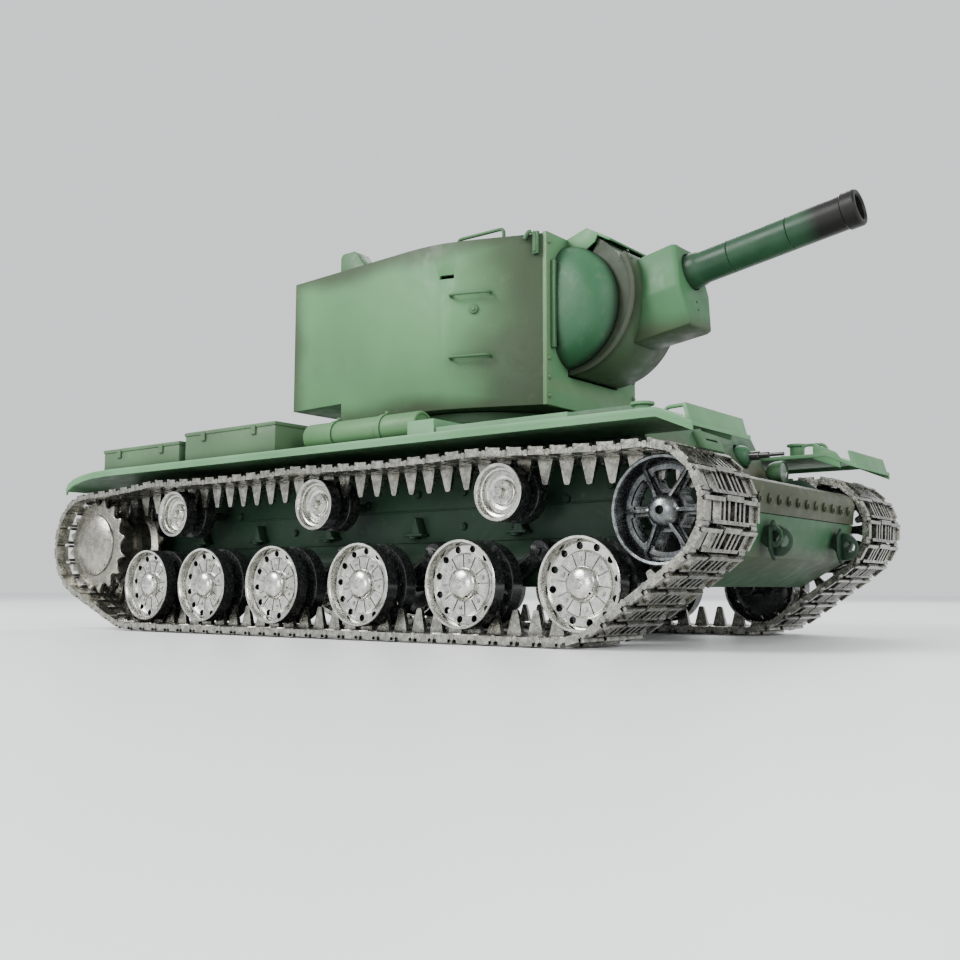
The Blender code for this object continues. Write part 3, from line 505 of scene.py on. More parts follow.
def roadWheelShape():
    profile = [
        (0, 10.1), (0.7, 10.1), (0.9, 10.3), (1.6, 10.3), (1.9, 9.95), (3.6, 9.7), (5.2, 9.1), (6.4, 8.2),
        (6.75, 7.4), (6.85, 6.3), (7.1, 6.0), (12.2, 6.0), (12.5, 5.7), (12.6, 4.9), (13.0, 4.6),
        (16.0, 4.9),
        (16.6, 5.6), (16.9, 8.8), (17.3, 9.5), (18.2, 9.6), (18.44, 9.3), (18.44, 3.0), (18.1, 2.7),
        (9.6, 2.7),
        (9.6, -2.7), (18.1, -2.7), (18.44, -3.0), (18.44, -9.3), (18.2, -9.6), (17.3, -9.5), (16.9, -8.8),
        (16.6, -5.6), (12.6, -5.0), (8.0, -6.4), (5.0, -6.8), (3.4, -6.8), (2.4, -6.2), (2.4, 0.0),
        (0, 0.0),
    ]
    bm = spun(profile, wheelLook["steps"])
    cuts = []
    for i in range(wheelLook["holes"]):
        angle = turn * (i + 0.5) / wheelLook["holes"]
        hole = cylinder(wheelLook["hole"], -12, 12, "Y", 10)
        cuts.append(moved(hole, onCircle(angle, wheelLook["holeCircle"]) * mm))
    for i in range(wheelLook["grooves"]):
        groove = block((7.2, 5.6, -0.28), (12.9, 7, 0.28))
        cuts.append(turned(groove, Matrix.Rotation(turn * i / wheelLook["grooves"], 4, "Y")))
    for i in range(2):
        notch = cylinder(0.5, 7, 10, "Y", 8)
        cuts.append(placed(notch, z=5.9 if i else -5.9))
    bm = carved(bm, joined(*cuts))
    for i in range(wheelLook["bolts"]):
        angle = turn * (2 * i + 0.5) / (2 * wheelLook["bolts"])
        place = onCircle(angle, 9.7, 6.0)
        joined(bm, bolt(place, (0, 1, 0), 1.1, 0.55, 6))
        joined(bm, bolt(place + Vector((0, 0.4, 0)), (0, 1, 0), 0.55, 0.5, 8))
    bm.normal_update()
    for face in bm.faces:
        centre = face.calc_center_median()
        reach = math.hypot(centre.x, centre.z)
        outerFace = centre.y > 4.4 * mm and reach < 17.8 * mm
        rim = reach > 17.1 * mm and (abs(abs(centre.y) - 9.5 * mm) < 0.4 * mm)
        face.material_index = 0 if outerFace or rim else 1
    return bm


def rollerShape():
    profile = [
        (0, 8.4), (0.8, 8.4), (1.0, 8.7), (1.7, 8.7), (1.9, 8.3), (2.1, 6.9), (2.4, 6.6), (4.7, 6.6),
        (5.0, 6.3),
        (5.1, 5.4), (5.5, 5.2), (6.9, 5.5), (7.1, 5.2), (8.4, 5.2), (8.9, 5.7), (9.2, 7.4), (9.8, 7.6),
        (10.1, 9.0), (10.5, 9.5), (11.6, 9.6), (11.88, 9.3), (11.88, 3.0), (11.6, 2.7), (3.0, 2.7),
        (3.0, -2.7),
        (11.6, -2.7), (11.88, -3.0), (11.88, -9.3), (11.6, -9.6), (10.6, -9.5), (10.2, -9.0), (9.8, -6.0),
        (5.5, -5.2), (3.6, -6.6), (2.4, -6.6), (2.4, -1.0), (0, -1.0),
    ]
    bm = spun(profile, 48)
    for i in range(6):
        joined(bm, bolt(onCircle(turn * i / 6, 3.8, 6.6), (0, 1, 0), 0.42, 0.35, 6))
    for face in bm.faces:
        centre = face.calc_center_median()
        reach = math.hypot(centre.x, centre.z)
        shown = centre.y > 4.6 * mm and reach < 11.5 * mm
        rim = reach > 10.3 * mm and (abs(abs(centre.y) - 9.5 * mm) < 0.4 * mm)
        face.material_index = 0 if shown or rim else 1
    return bm


idlerLook = {"spokes": 6, "windowInner": 7.9, "windowOuter": 15.2}


def idlerShape():
    profile = [
        (0, 9.6), (1.5, 9.6), (3.4, 9.2), (5.0, 8.3), (6.1, 7.0), (6.5, 5.6), (6.7, 3.4), (13.6, 3.2),
        (13.9, 3.8),
        (17.0, 3.9), (17.3, 4.4), (18.4, 8.6), (18.9, 9.4), (19.8, 9.6), (20.25, 9.2), (20.25, 3.0),
        (19.9, 2.7),
        (11.2, 2.7), (11.2, -2.7), (19.9, -2.7), (20.25, -3.0), (20.25, -9.2), (19.8, -9.6), (18.9, -9.4),
        (18.4, -8.6), (17.2, -3.9), (6.7, -3.4), (5.0, -7.0), (2.4, -7.0), (2.4, -1.0), (0, -1.0),
    ]
    bm = spun(profile, 60)
    cuts = [cylinder(1.7, 6, 12, "Y", 16)]
    spokes = idlerLook["spokes"]
    for i in range(spokes):
        wedge = []
        for radius, spread in ((idlerLook["windowInner"], 0.60), (idlerLook["windowOuter"], 0.74)):
            count = 7
            arc = [turn / spokes * spread * (j / (count - 1) - 0.5) for j in range(count)]
            arc = arc if radius < 10 else arc[::-1]
            wedge += [(radius * math.cos(a), radius * math.sin(a)) for a in arc]
        window = plate(wedge, -4.6, 12.0, "XZ")
        bmesh.ops.bevel(window, geom=[e for e in window.edges
                                      if abs((e.verts[0].co - e.verts[1].co).y) > 5 * mm
                                      and e.calc_face_angle(0) > 0.9],
                        offset=1.0 * mm, segments=3, affect="EDGES", profile=0.5, material=-1)
        cuts.append(turned(window, Matrix.Rotation(turn * (i + 0.5) / spokes, 4, "Y")))
    bm = carved(bm, joined(*cuts))
    for i in range(spokes):
        rib = plate([(5.2, 3.0), (18.3, 3.0), (18.3, 4.8), (12.0, 5.9), (7.0, 7.4), (5.2, 7.8)], -0.9,
                    0.9, "XZ", 0.35)
        swap = Matrix(((1, 0, 0, 0), (0, 0, 1, 0), (0, -1, 0, 0), (0, 0, 0, 1)))
        joined(bm, turned(turned(rib, swap), Matrix.Rotation(turn * i / spokes, 4, "Y")))
    return bm


sprocketLook = {"teeth": 16, "root": 22.2, "tip": 26.2, "ringPlace": 12.3, "ringWidth": 2.4}


def toothedRing(middleY):
    look = sprocketLook
    outline = []
    for tooth in range(look["teeth"]):
        base = turn * tooth / look["teeth"]
        pitch = turn / look["teeth"]
        shape = ((-0.50, look["root"]), (-0.36, look["root"] + 0.25), (-0.20, 23.9), (-0.07, look["tip"]),
                 (0.07, look["tip"]), (0.20, 23.9), (0.36, look["root"] + 0.25))
        outline += [(r * math.cos(base + a * pitch), r * math.sin(base + a * pitch)) for a, r in shape]
    return plate(outline, middleY - look["ringWidth"] / 2, middleY + look["ringWidth"] / 2, "XZ", 0.25)


def sprocketShape():
    ring = sprocketLook["ringPlace"]
    profile = [
        (0, 17.6), (5.0, 17.4), (9.0, 16.9), (12.5, 16.1), (15.0, 15.2), (16.4, 14.5), (16.6, 14.1),
        (16.7, 13.6),
        (21.6, 13.55), (22.0, 13.2), (22.0, 11.2), (21.0, 10.9), (19.0, 9.0), (19.0, 3.0), (14.8, 2.7),
        (14.8, -2.7),
        (19.0, -3.0), (19.0, -9.0), (22.0, -11.2), (22.0, -13.4), (6.0, -13.4), (0, -13.4),
    ]
    bm = spun(profile, 72)
    holes = []
    for i in range(16):
        angle = turn * (i + 0.5) / 16
        hole = cylinder(0.65, 12.9, 15, "Y", 8)
        holes.append(moved(hole, onCircle(angle, 19.6) * mm))
    bm = carved(bm, joined(*holes))
    joined(bm, toothedRing(ring), toothedRing(-ring))
    for i in range(20):
        angle = turn * i / 20
        joined(bm, bolt(onCircle(angle, 15.3, 14.9), onCircle(angle, 0.45, 1), 0.6, 0.5, 6))
    return bm


def placedWheels(shape, nodes, material, extra=None, spread=0.0):
    # copies one master wheel to each place; the right side's is turned about Z
    master = bpy.data.meshes.new("master")
    shape.to_mesh(master)
    shape.free()
    for index, node in enumerate(nodes):
        centre = middle(node)
        centre.y = trackMiddle if centre.y > 0 else -trackMiddle
        bm = bmesh.new()
        bm.from_mesh(master)
        turned(bm, Matrix.Rotation(spread * index, 4, "Y"))
        if centre.y < 0:
            turned(bm, Matrix.Rotation(math.pi, 4, "Z"))
        moved(bm, centre)
        addPiece(node + "_look", bm, material, node, [node], 30, extra)


trackMiddle = middle("track_left").y
wheelNodes = [f"road_wheel_{side}_{i}" for side in sides for i in range(1, 7)]
rollerNodes = [f"return_roller_{side}_{i}" for side in sides for i in range(1, 4)]
placedWheels(roadWheelShape(), wheelNodes, castMetal, glossBlack, 0.37)
placedWheels(rollerShape(), rollerNodes, castMetal, glossBlack, 0.5)
placedWheels(idlerShape(), ["idler_left", "idler_right"], idlerMetal)
print("wheels made")


trackLook = {"pinDepth": 2.0, "pitch": 10.17, "toothHeight": 8.6, "toothBase": 7.2, "toothTip": 2.4}


def arc(centre, radius, start, end, count):
    return [Vector((centre[0] + radius * math.cos(start + (end - start) * i / count),
                    centre[1] + radius * math.sin(start + (end - start) * i / count)))
                    for i in range(count + 1)]


def trackLine():
    # the line through the link pins, seen from the right side, as (x, z) in metres
    depth = trackLook["pinDepth"] * mm
    gap = 0.3 * mm
    idler, drive = middle("idler_right"), middle("sprocket_right")
    front, rear = middle("road_wheel_right_6"), middle("road_wheel_right_1")
    idlerR = (high("idler_right").x - low("idler_right").x) / 2 + gap + depth
    driveR = 23.9 * mm + depth
    wheelR = (high("road_wheel_right_1").x - low("road_wheel_right_1").x) / 2 + gap + depth
    rollers = [middle(f"return_roller_right_{i}") for i in (1, 2, 3)]
    rollerR = (high("return_roller_right_1").z - low("return_roller_right_1").z) / 2 + gap + depth

    def tangent(first, r1, second, r2, sign):
        dx, dz = second[0] - first[0], second[1] - first[1]
        return math.atan2(dz, dx) + sign * (math.pi / 2 + math.asin((r2 - r1) / math.hypot(dx, dz)))

    flat = lambda v: (v.x, v.z)
    frontAngle = tangent(flat(front), wheelR, flat(idler), idlerR, -1)
    rearAngle = tangent(flat(rear), wheelR, flat(drive), driveR, 1)
    line = [Vector((r.x, r.z + rollerR)) for r in rollers]
    line += arc(flat(idler), idlerR, math.radians(80), frontAngle, 26)
    line += arc(flat(front), wheelR, frontAngle, -math.pi / 2, 8)
    line += arc(flat(rear), wheelR, -math.pi / 2, rearAngle - turn, 8)
    line += arc(flat(drive), driveR, rearAngle - turn, math.radians(-264), 30)
    return line


def sagged(line):
    # adds points to the upper run, a little low between the rollers
    dense = []
    for first, second in zip(line, line[1:] + line[:1]):
        span = (second - first).length
        droop = 0.012 * span if min(first.y, second.y) > 60 * mm and span > 20 * mm else 0.0
        pieces = 10 if span > 20 * mm else 1
        for i in range(pieces):
            t = i / pieces
            point = first.lerp(second, t)
            point.y -= droop * 4 * t * (1 - t)
            dense.append(point)
    return dense


def pinPlaces():
    line = sagged(trackLine())
    total = sum((b - a).length for a, b in zip(line, line[1:] + line[:1]))
    count = round(total / (trackLook["pitch"] * mm))
    places, step, travelled, target = [], total / count, 0.0, 0.0
    for a, b in zip(line, line[1:] + line[:1]):
        span = (b - a).length
        while target < travelled + span - 1e-9 and len(places) < count:
            places.append(a.lerp(b, (target - travelled) / span))
            target += step
        travelled += span
    return places


def linkShape(pitch):
    # one cast link along +X, its outer face up, with its front pin at the far end
    half = 21.9
    bm = bmesh.new()
    parts = []
    for side in (-1, 1):
        pad = sorted((side * 15.2, side * half))
        parts.append(((1.3, pad[0], -0.9), (pitch - 1.3, pad[1], 1.0)))
        lip = sorted((side * 20.2, side * half))
        parts.append(((2.2, lip[0], 1.0), (pitch - 2.2, lip[1], 2.2)))
    for y in (-9.6, -6.2, -2.6, 2.6, 6.2, 9.6):
        parts.append(((1.0, y - 0.75, -0.7), (pitch - 1.0, y + 0.75, 1.7)))
    parts.append(((0.4, -21.0, -0.8), (1.9, -7.4, 2.6)))
    parts.append(((-0.5, -6.6, -0.8), (1.5, 6.6, 2.9)))
    parts.append(((0.4, 7.4, -0.8), (1.9, 21.0, 2.6)))
    parts.append(((pitch - 1.9, -14.4, -0.8), (pitch - 0.5, 14.4, 1.6)))
    for lowCorner, highCorner in parts:
        joined(bm, block(lowCorner, highCorner))
    for side in (-1, 1):
        joined(bm, cylinder(1.35, *sideEnds(side, 17.0, 21.95), "Y", 7))
    look = trackLook
    middleX = pitch / 2
    tooth = block((middleX - look["toothBase"] / 2, -1.25, -(look["toothHeight"] + 2.0)),
                  (middleX + look["toothBase"] / 2, 1.25, -0.5))
    tip = [v for v in tooth.verts if v.co.z < -5 * mm]
    bmesh.ops.scale(tooth, vec=(look["toothTip"] / look["toothBase"], 0.55, 1), verts=tip,
                    space=Matrix.Translation((-middleX * mm, 0, 0)))
    tipEdges = [e for e in tooth.edges if all(v.co.z < -5 * mm for v in e.verts)
                and abs(e.verts[0].co.y - e.verts[1].co.y) > 0.5 * mm]
    bmesh.ops.bevel(tooth, geom=tipEdges, offset=0.7 * mm, segments=2, affect="EDGES", profile=0.5,
                    material=-1)
    return joined(bm, tooth)


def layTrack(side):
    places = pinPlaces()
    pitch = sum((b - a).length for a, b in zip(places, places[1:] + places[:1])) / len(places)
    master = bpy.data.meshes.new("link")
    shape = linkShape(pitch / mm)
    shape.to_mesh(master)
    shape.free()
    track = bmesh.new()
    for start, end in zip(places, places[1:] + places[:1]):
        along = (end - start).normalized()
        outward = Vector((-along.y, along.x))  # the line runs clockwise, so its left is outside
        link = bmesh.new()
        link.from_mesh(master)
        frameOf = Matrix(((along.x, 0, outward.x, start.x), (0, 1, 0, 0),
                          (along.y, 0, outward.y, start.y), (0, 0, 0, 1)))
        turned(link, frameOf)
        joined(track, link)
    moved(track, (0, side * trackMiddle, 0))
    bmesh.ops.recalc_face_normals(track, faces=track.faces)
    name = "left" if side > 0 else "right"
    addPiece(f"track_{name}_links", track, trackMetal, "root", [f"track_{name}"], 30)
    return places


pins = [layTrack(side) for side in sides.values()][0]
print("tracks laid:", len(pins), "links a side")


def sprocketPhase():
    # turns the teeth so that one of them stands in the middle of a link
    centre = Vector((middle("sprocket_right").x, middle("sprocket_right").z))
    pairs = list(zip(pins, pins[1:] + pins[:1]))
    mids = [(a + b) / 2 for a, b in pairs]
    rearmost = min(mids, key=lambda p: p.x)
    angle = math.atan2(rearmost.y - centre.y, rearmost.x - centre.x)
    return -angle


for side in sides:
    node = f"sprocket_{side}"
    shape = sprocketShape()
    turned(shape, Matrix.Rotation(sprocketPhase(), 4, "Y"))
    if sides[side] < 0:
        flipped(shape)
    centre = middle(node)
    centre.y = trackMiddle * sides[side]
    moved(shape, centre)
    addPiece(node + "_look", shape, sprocketMetal, node, [node], 30)
print("sprockets made")


def swingArmShape(sign, wheel):
    hub = middle(wheel)
    pivot = hub + Vector((20.0, 0, 14.0)) * mm
    inner, outer = 56.4, 61.4
    length = math.hypot(20.0, 14.0)
    arm = plate([(0, -4.6), (6, -3.8), (length - 6, -3.4), (length, -4.2), (length, 4.2),
                 (length - 6, 3.4), (6, 3.8), (0, 4.6)],
                inner, outer, "XZ", 0.7)
    turned(arm, Matrix.Rotation(-math.atan2(-14.0, -20.0), 4, "Y"))
    moved(arm, (pivot.x, 0, pivot.z))
    pieces = [arm]
    for centre, radius, start, end in ((pivot, 5.0, inner, outer + 1.2), (hub, 4.6, inner, outer + 2.6),
                                       (hub, 3.2, outer, 74.0), (hub, 2.0, outer, 86.0)):
        boss = cylinder(radius, start, end, "Y", 24, None, 0.5 if radius > 3 else 0)
        pieces.append(moved(boss, (centre.x, 0, centre.z)))
    screw = cylinder(1.8, outer, outer + 2.4, "Y", 6, None, 0.2)
    pieces.append(moved(screw, (pivot.x, 0, pivot.z)))
    bm = joined(*pieces)
    return flipped(bm) if sign < 0 else bm


for side, sign in sides.items():
    for i in range(1, 7):
        node = f"swing_arm_{side}_{i}"
        arm = swingArmShape(sign, f"road_wheel_{side}_{i}")
        addPiece(node + "_look", arm, glossBlack, node, [node])
print("swing arms made")

turretLook = {
    "centre": 21.6, "front": 80.0, "rear": -74.4, "roof": 183.5, "floor": 104.3, "bustle": -36.0,
    "bustleFloor": 114.7, "wall": 2.0, "cheekPlace": (79.0, 151.5),
    "ring": 46.0, "ringHole": 38.0, "hatchPlace": (-7.4, 21.0),
}
turretPlan = [(-74.4, 49.5), (-1.4, 54.8), (6.0, 55.4), (12.5, 55.9), (19.0, 56.1), (26.0, 55.9),
              (33.0, 55.0),
              (41.0, 52.8), (50.0, 49.9), (80.0, 38.5)]


def turretOutline(inset=0.0, rear=None):
    half = [(x, y - inset) for x, y in turretPlan]
    half[0] = (half[0][0] + inset if rear is None else rear, half[0][1] if rear is None else 51.6 - inset)
    half[-1] = (half[-1][0] - inset, half[-1][1])
    return half + [(x, -y) for x, y in half[::-1]]


def turretShape():
    look = turretLook
    shell = plate(turretOutline(), look["floor"], look["roof"], "XY")
    wall = look["wall"]
    cuts = joined(
        block((-90, -70, 100), (look["bustle"], 70, look["bustleFloor"])),
        plate(turretOutline(wall, look["bustle"] + wall), look["floor"] + wall, look["roof"] - wall,
              "XY"))
    shell = carved(shell, cuts)
    cuts = joined(plate(turretOutline(wall), look["bustleFloor"] + wall, look["roof"] - wall, "XY"))
    shell = carved(shell, cuts)
    cuts = joined(
        block((60, -21.6, 119.4), (95, 21.6, 182.1)),
        block((-80, -16.3, 123.7), (-70, 16.3, 160.3)),
        placed(cylinder(look["ringHole"], 100, 110, "Z", 40), x=look["centre"]),
        placed(cylinder(12.9, 178, 188, "Z", 32), *look["hatchPlace"]))
    for sign in sides.values():
        ends = sideEnds(sign, 44, 62)
        slit = block((31.2, ends[0], 166.2), (38.4, ends[1], 167.9))
        joined(cuts, slit)
    shell = carved(shell, cuts)
    bmesh.ops.remove_doubles(shell, verts=shell.verts, dist=5 * weld)
    bmesh.ops.dissolve_limit(shell, angle_limit=math.radians(0.5), verts=shell.verts, edges=shell.edges)
    return rounded(shell, 0.35 * mm, 2, 40)


def cheekShape(sign):
    # the domed half-moon beside the gun, turned about the trunnion's line
    profile = [(0, 34.4), (8, 34.3), (14, 33.9), (18.4, 33.1), (22.0, 31.6), (24.8, 29.6), (26.9, 27.2),
               (28.2, 24.8), (28.9, 22.8), (29.0, 21.8), (26.5, 21.8), (23.0, 27.0), (17.0, 30.0),
               (9.0, 31.6), (0, 31.8)]
    bm = spun(profile, 64)
    place = turretLook["cheekPlace"]
    placed(bm, x=place[0], z=place[1])
    bm = carved(bm, block((40, -10, 110), (78.6, 50, 190)))
    return flipped(bm) if sign < 0 else bm


def wallAt(x):
    # half width of the turret at a station, and the wall's direction outwards
    for (x0, y0), (x1, y1) in zip(turretPlan, turretPlan[1:]):
        if x0 <= x <= x1:
            y = y0 + (y1 - y0) * (x - x0) / (x1 - x0)
            slope = math.atan2(y1 - y0, x1 - x0)
            return y, Vector((-math.sin(slope), math.cos(slope), 0))


def onWall(x, z, out, sign):
    y, normal = wallAt(x)
    place = Vector((x, y, z)) + normal * out
    return Vector((place.x, place.y * sign, place.z))


# the floor, roof and rear bands are airbrushed dark edges; the wide band reaching 58 mm back from the
# front is painted shade where the side wall turns forward
turretPaint = paintMaterial(
    "turretPaint", (("Z", turretLook["floor"] * mm, 11 * mm), ("Z", turretLook["roof"] * mm, 12 * mm),
                    ("X", turretLook["rear"] * mm, 15 * mm), ("X", turretLook["front"] * mm, 58 * mm)),
    green=(0.078, 0.194, 0.083), shade=(0.067, 0.163, 0.071), airbrushAndShade=(0.026, 0.026, 0.016),
    strength=0.80,
    dustAmount=0.10)
frontPaint = paintMaterial(
    "frontPaint", (("Z", 114.0 * mm, 5 * mm), ("absY", 38.5 * mm, 4 * mm)),
    green=(0.090, 0.211, 0.098), shade=(0.068, 0.169, 0.076), airbrushAndShade=(0.127, 0.169, 0.084),
    strength=0.35, dustAmount=0.15)
# its dark bands are painted shade where the cheeks meet the gun rotor and the faceplate
castPaint = paintMaterial(
    "castPaint", (("absY", 21.8 * mm, 5 * mm), ("X", 79.0 * mm, 7 * mm)), green=(0.037, 0.112, 0.053),
    shade=(0.024, 0.082, 0.038), airbrushAndShade=(0.011, 0.020, 0.012), strength=0.9, grain=5.0,
    roughness=0.40, dustAmount=0.1)
detailPaint = paintMaterial(
    "detailPaint", (), green=(0.058, 0.129, 0.061), shade=(0.042, 0.102, 0.046), dustAmount=0.15)

addPiece("turret_walls", turretShape(), turretPaint, "turret", ["turret_shell"])
print("turret walls made")

faceplate = carved(
    plate([(-39.2, 104.2), (39.2, 104.2), (39.2, 184.1), (-39.2, 184.1)], 78.8, 81.0, "YZ"),
    block((60, -21.7, 119.3), (95, 21.7, 182.2)))
rounded(faceplate, 0.3 * mm, 2, 40)
for sign in sides.values():
    for z in (108.4, 117.0, 125.6, 179.6):
        joined(faceplate, bolt((81.0, sign * 37.2, z), (1, 0, 0), 1.25, 0.7, 12))
        joined(faceplate, bolt((81.6, sign * 37.2, z), (1, 0, 0), 0.6, 0.5, 8))
    for z in (110.8, 121.0, 132.0):
        joined(faceplate, bolt((80.0, sign * 23.4, z - 4), (1, 0, 0), 0.2, 0.2, 6))
addPiece("turret_faceplate", faceplate, frontPaint, "turret")

for side, sign in sides.items():
    addPiece(f"turret_cheek_{side}", cheekShape(sign), castPaint, "turret", sharp=25)
    bar = block((80.6, sign * 35.2 - 0.9, 130.5), (83.4, sign * 35.2 + 0.9, 171.0), 0.35, 2)
    joined(bar, block((80.6, sign * 33.6 - 0.8, 131.5), (82.0, sign * 33.6 + 0.8, 170.0), 0.3, 1))
    addPiece(f"turret_cheek_bar_{side}", bar, detailPaint, "turret")

hood = plate([(79.5, 181.6), (80.2, 184.2), (91.5, 187.9), (103.4, 181.2), (102.8, 180.1),
              (91.6, 186.5), (85.0, 184.2)],
             -20.9, 20.9, "XZ", 0.3)
for sign in sides.values():
    ends = sideEnds(sign, 20.9, 22.1)
    cheekTop = plate([(80.0, 176.0), (80.0, 184.2), (91.5, 187.9), (98.0, 184.2), (96.0, 180.4),
                      (90.0, 176.6)],
                     *ends, "XZ", 0.3)
    rod = plate([(96.6, 183.4), (97.6, 184.5), (104.4, 180.6), (103.6, 179.4)], *ends, "XZ", 0.3)
    joined(hood, cheekTop, rod)
addPiece("turret_hood", hood, frontPaint, "turret")

fittings = bmesh.new()
for sign in sides.values():
    for z in (157.5, 128.0):
        ends = [onWall(37.5, z, -0.5, sign), onWall(37.5, z, 3.6, sign), onWall(56.0, z, 3.6, sign),
                onWall(56.0, z, -0.5, sign)]
        joined(fittings, wire(ends, 0.72, 2.4, 12))
        for x in (37.5, 56.0):
            y, normal = wallAt(x)
            outwards = Vector((normal.x, normal.y * sign, 0))
            joined(fittings, bolt(onWall(x, z, 0, sign), outwards, 1.5, 0.6, 14, True))
    y, normal = wallAt(48.1)
    outwards = Vector((normal.x, normal.y * sign, 0))
    joined(fittings, bolt(onWall(48.1, 150.4, 0, sign), outwards, 2.35, 1.1, 24))
    joined(fittings, bolt(onWall(48.1, 150.4, 1.0, sign), outwards, 1.1, 0.6, 20))
    hook = wire([(76.4, sign * 41.6, 174.6), (76.4, sign * 41.6, 183.0), (73.5, sign * 42.6, 184.6),
                 (71.6, sign * 43.2, 180.8)], 0.95, 1.8, 12)
    joined(fittings, hook)
    joined(fittings, block((74.8, sign * 40.9 - 0.9, 173.6), (78.0, sign * 40.9 + 0.9, 184.2), 0.4, 2))
    joined(fittings, wire([(30, sign * 40, 183.3), (30, sign * 40, 189.6), (57.5, sign * 40, 189.6),
                           (57.5, sign * 40, 183.3)],
                          0.85, 2.4, 12))
for place in ((44.0, -31.0), (44.0, 31.0), (-56.0, 34.0)):
    dome = cylinder(4.4, 183.3, 185.2, "Z", 28, 4.0, 0.3)
    joined(fittings, placed(dome, x=place[0], y=place[1]))
    dome = cylinder(2.8, 185.0, 188.4, "Z", 28, 2.0, 0.5)
    joined(fittings, placed(dome, x=place[0], y=place[1]))
collar = placed(cylinder(15.4, 183.2, 184.4, "Z", 48, 15.0, 0.2), x=turretLook["hatchPlace"][0],
                y=turretLook["hatchPlace"][1])
opening = placed(cylinder(13.3, 180, 190, "Z", 48), *turretLook["hatchPlace"])
joined(fittings, carved(collar, opening))
for x in range(-66, 76, 12):
    for sign in sides.values():
        reach = wallAt(x)[0] - 3.4
        joined(fittings, bolt((x, sign * reach, 183.4), (0, 0, 1), 0.9, 0.4, 8))
for z in (128.0, 156.0):
    joined(fittings, block((-76.1, 16.8, z - 3), (-73.9, 22.0, z + 3), 0.3))
addPiece("turret_fittings", fittings, detailPaint, "turret")

ring = carved(cylinder(turretLook["ring"], 91.6, 104.0, "Z", 72),
              cylinder(turretLook["ringHole"], 80, 110, "Z", 48))
lip = carved(cylinder(46.6, 99.4, 103.9, "Z", 72), cylinder(44, 80, 110, "Z", 48))
joined(ring, lip)
placed(ring, x=turretLook["centre"])
addPiece("turret_ring_look", ring, detailPaint, "turret", ["turret_ring"])
print("turret fittings made")


def addHatch():
    bm = spun([(0, 187.0), (4, 186.8), (8.5, 186.3), (11.5, 185.4), (12.4, 184.9), (13.0, 184.2),
               (13.0, 183.4),
               (12.5, 182.6), (0, 182.6)], 48)
    turned(bm, Matrix.Rotation(math.pi / 2, 4, "X"))
    placed(bm, *turretLook["hatchPlace"])
    joined(bm, block((-22.0, 18.2, 184.4), (-12.0, 23.8, 186.0), 0.4, 2))
    joined(bm, placed(cylinder(1.2, 17.0, 25.0, "Y", 16, None, 0.2), x=-22.8, z=184.9))
    joined(bm, wire([(-3.5, 15.5, 186.2), (-3.5, 15.5, 188.6), (-3.5, 26.5, 188.6),
                     (-3.5, 26.5, 186.2)], 0.6, 1.2, 10))
    addPiece("turret_hatch_lid", bm, turretPaint, "turret_hatch", ["turret_hatch"])


def addRearDoor():
    door = plate([(-16, 124), (16, 124), (16, 160), (-16, 160)], -75.3, -73.3, "YZ", 0.4)
    door = carved(door, placed(cylinder(3.4, -78, -70, "X", 28), z=142))
    for y in (-13.6, -6.8, 0, 6.8, 13.6):
        for z in (126.2, 157.8):
            joined(door, bolt((-75.3, y, z), (-1, 0, 0), 0.8, 0.4, 8))
    for z in (131.5, 142, 152.5):
        joined(door, bolt((-75.3, -13.8, z), (-1, 0, 0), 0.8, 0.4, 8))
    for z in (132.0, 152.0):
        joined(door, block((-76.2, 9.0, z - 2.2), (-75.2, 17.4, z + 2.2), 0.3))
        joined(door, placed(cylinder(0.9, z - 3.4, z + 3.4, "Z", 14, None, 0.2), x=-75.6, y=17.6))
    addPiece("rear_door_look", door, turretPaint, "rear_door", ["rear_door"])
    ball = bmesh.new()
    bmesh.ops.create_uvsphere(ball, u_segments=28, v_segments=14, radius=3.2 * mm)
    placed(ball, x=-74.6, z=142)
    for radius, start, end in ((1.5, -82.5, -76.5), (1.0, -90.2, -82.0)):
        tube = cylinder(radius, start, end, "X", 16, None, 0.2)
        joined(ball, placed(tube, z=142))
    addPiece("rear_mg_look", ball, castPaint, "rear_mg", ["rear_mg"])


def addPeriscope():
    bm = plate([(-50.9, 183.6), (-50.9, 196.0), (-49.5, 198.2), (-41.5, 198.2), (-38.6, 196.6),
                (-30.9, 186.2),
                (-30.9, 183.6)], -40, -30, "XZ", 0.5)
    window = block((-52, -38.4, 190.0), (-50.0, -31.6, 196.2))
    bm = carved(bm, window)
    addPiece("periscope_look", bm, detailPaint, "turret", ["periscope"])
    glass = block((-50.3, -38.4, 190.0), (-49.9, -31.6, 196.2))
    addPiece("periscope_glass", glass, glossBlack, "turret")


addHatch()
addRearDoor()
addPeriscope()


gunLook = {"trunnion": (81.0, 155.1), "elevation": 10.07, "rotor": 35.0, "half": 20.8, "barrel": 7.3,
           "length": 131.0}


def gunPlaced(bm):
    # from the barrel's own frame, in which it lies along X, to its place at rest
    turned(bm, Matrix.Rotation(math.radians(-gunLook["elevation"]), 4, "Y"))
    return placed(bm, x=gunLook["trunnion"][0], z=gunLook["trunnion"][1])


def boxSection(station, grow=0.0):
    shape = [(11 + grow, 11.6 + grow), (15 + grow, -9), (10.6 + grow, -27 - grow)]
    return [(station, y, z) for y, z in shape] + [(station, -y, z) for y, z in shape[::-1]]


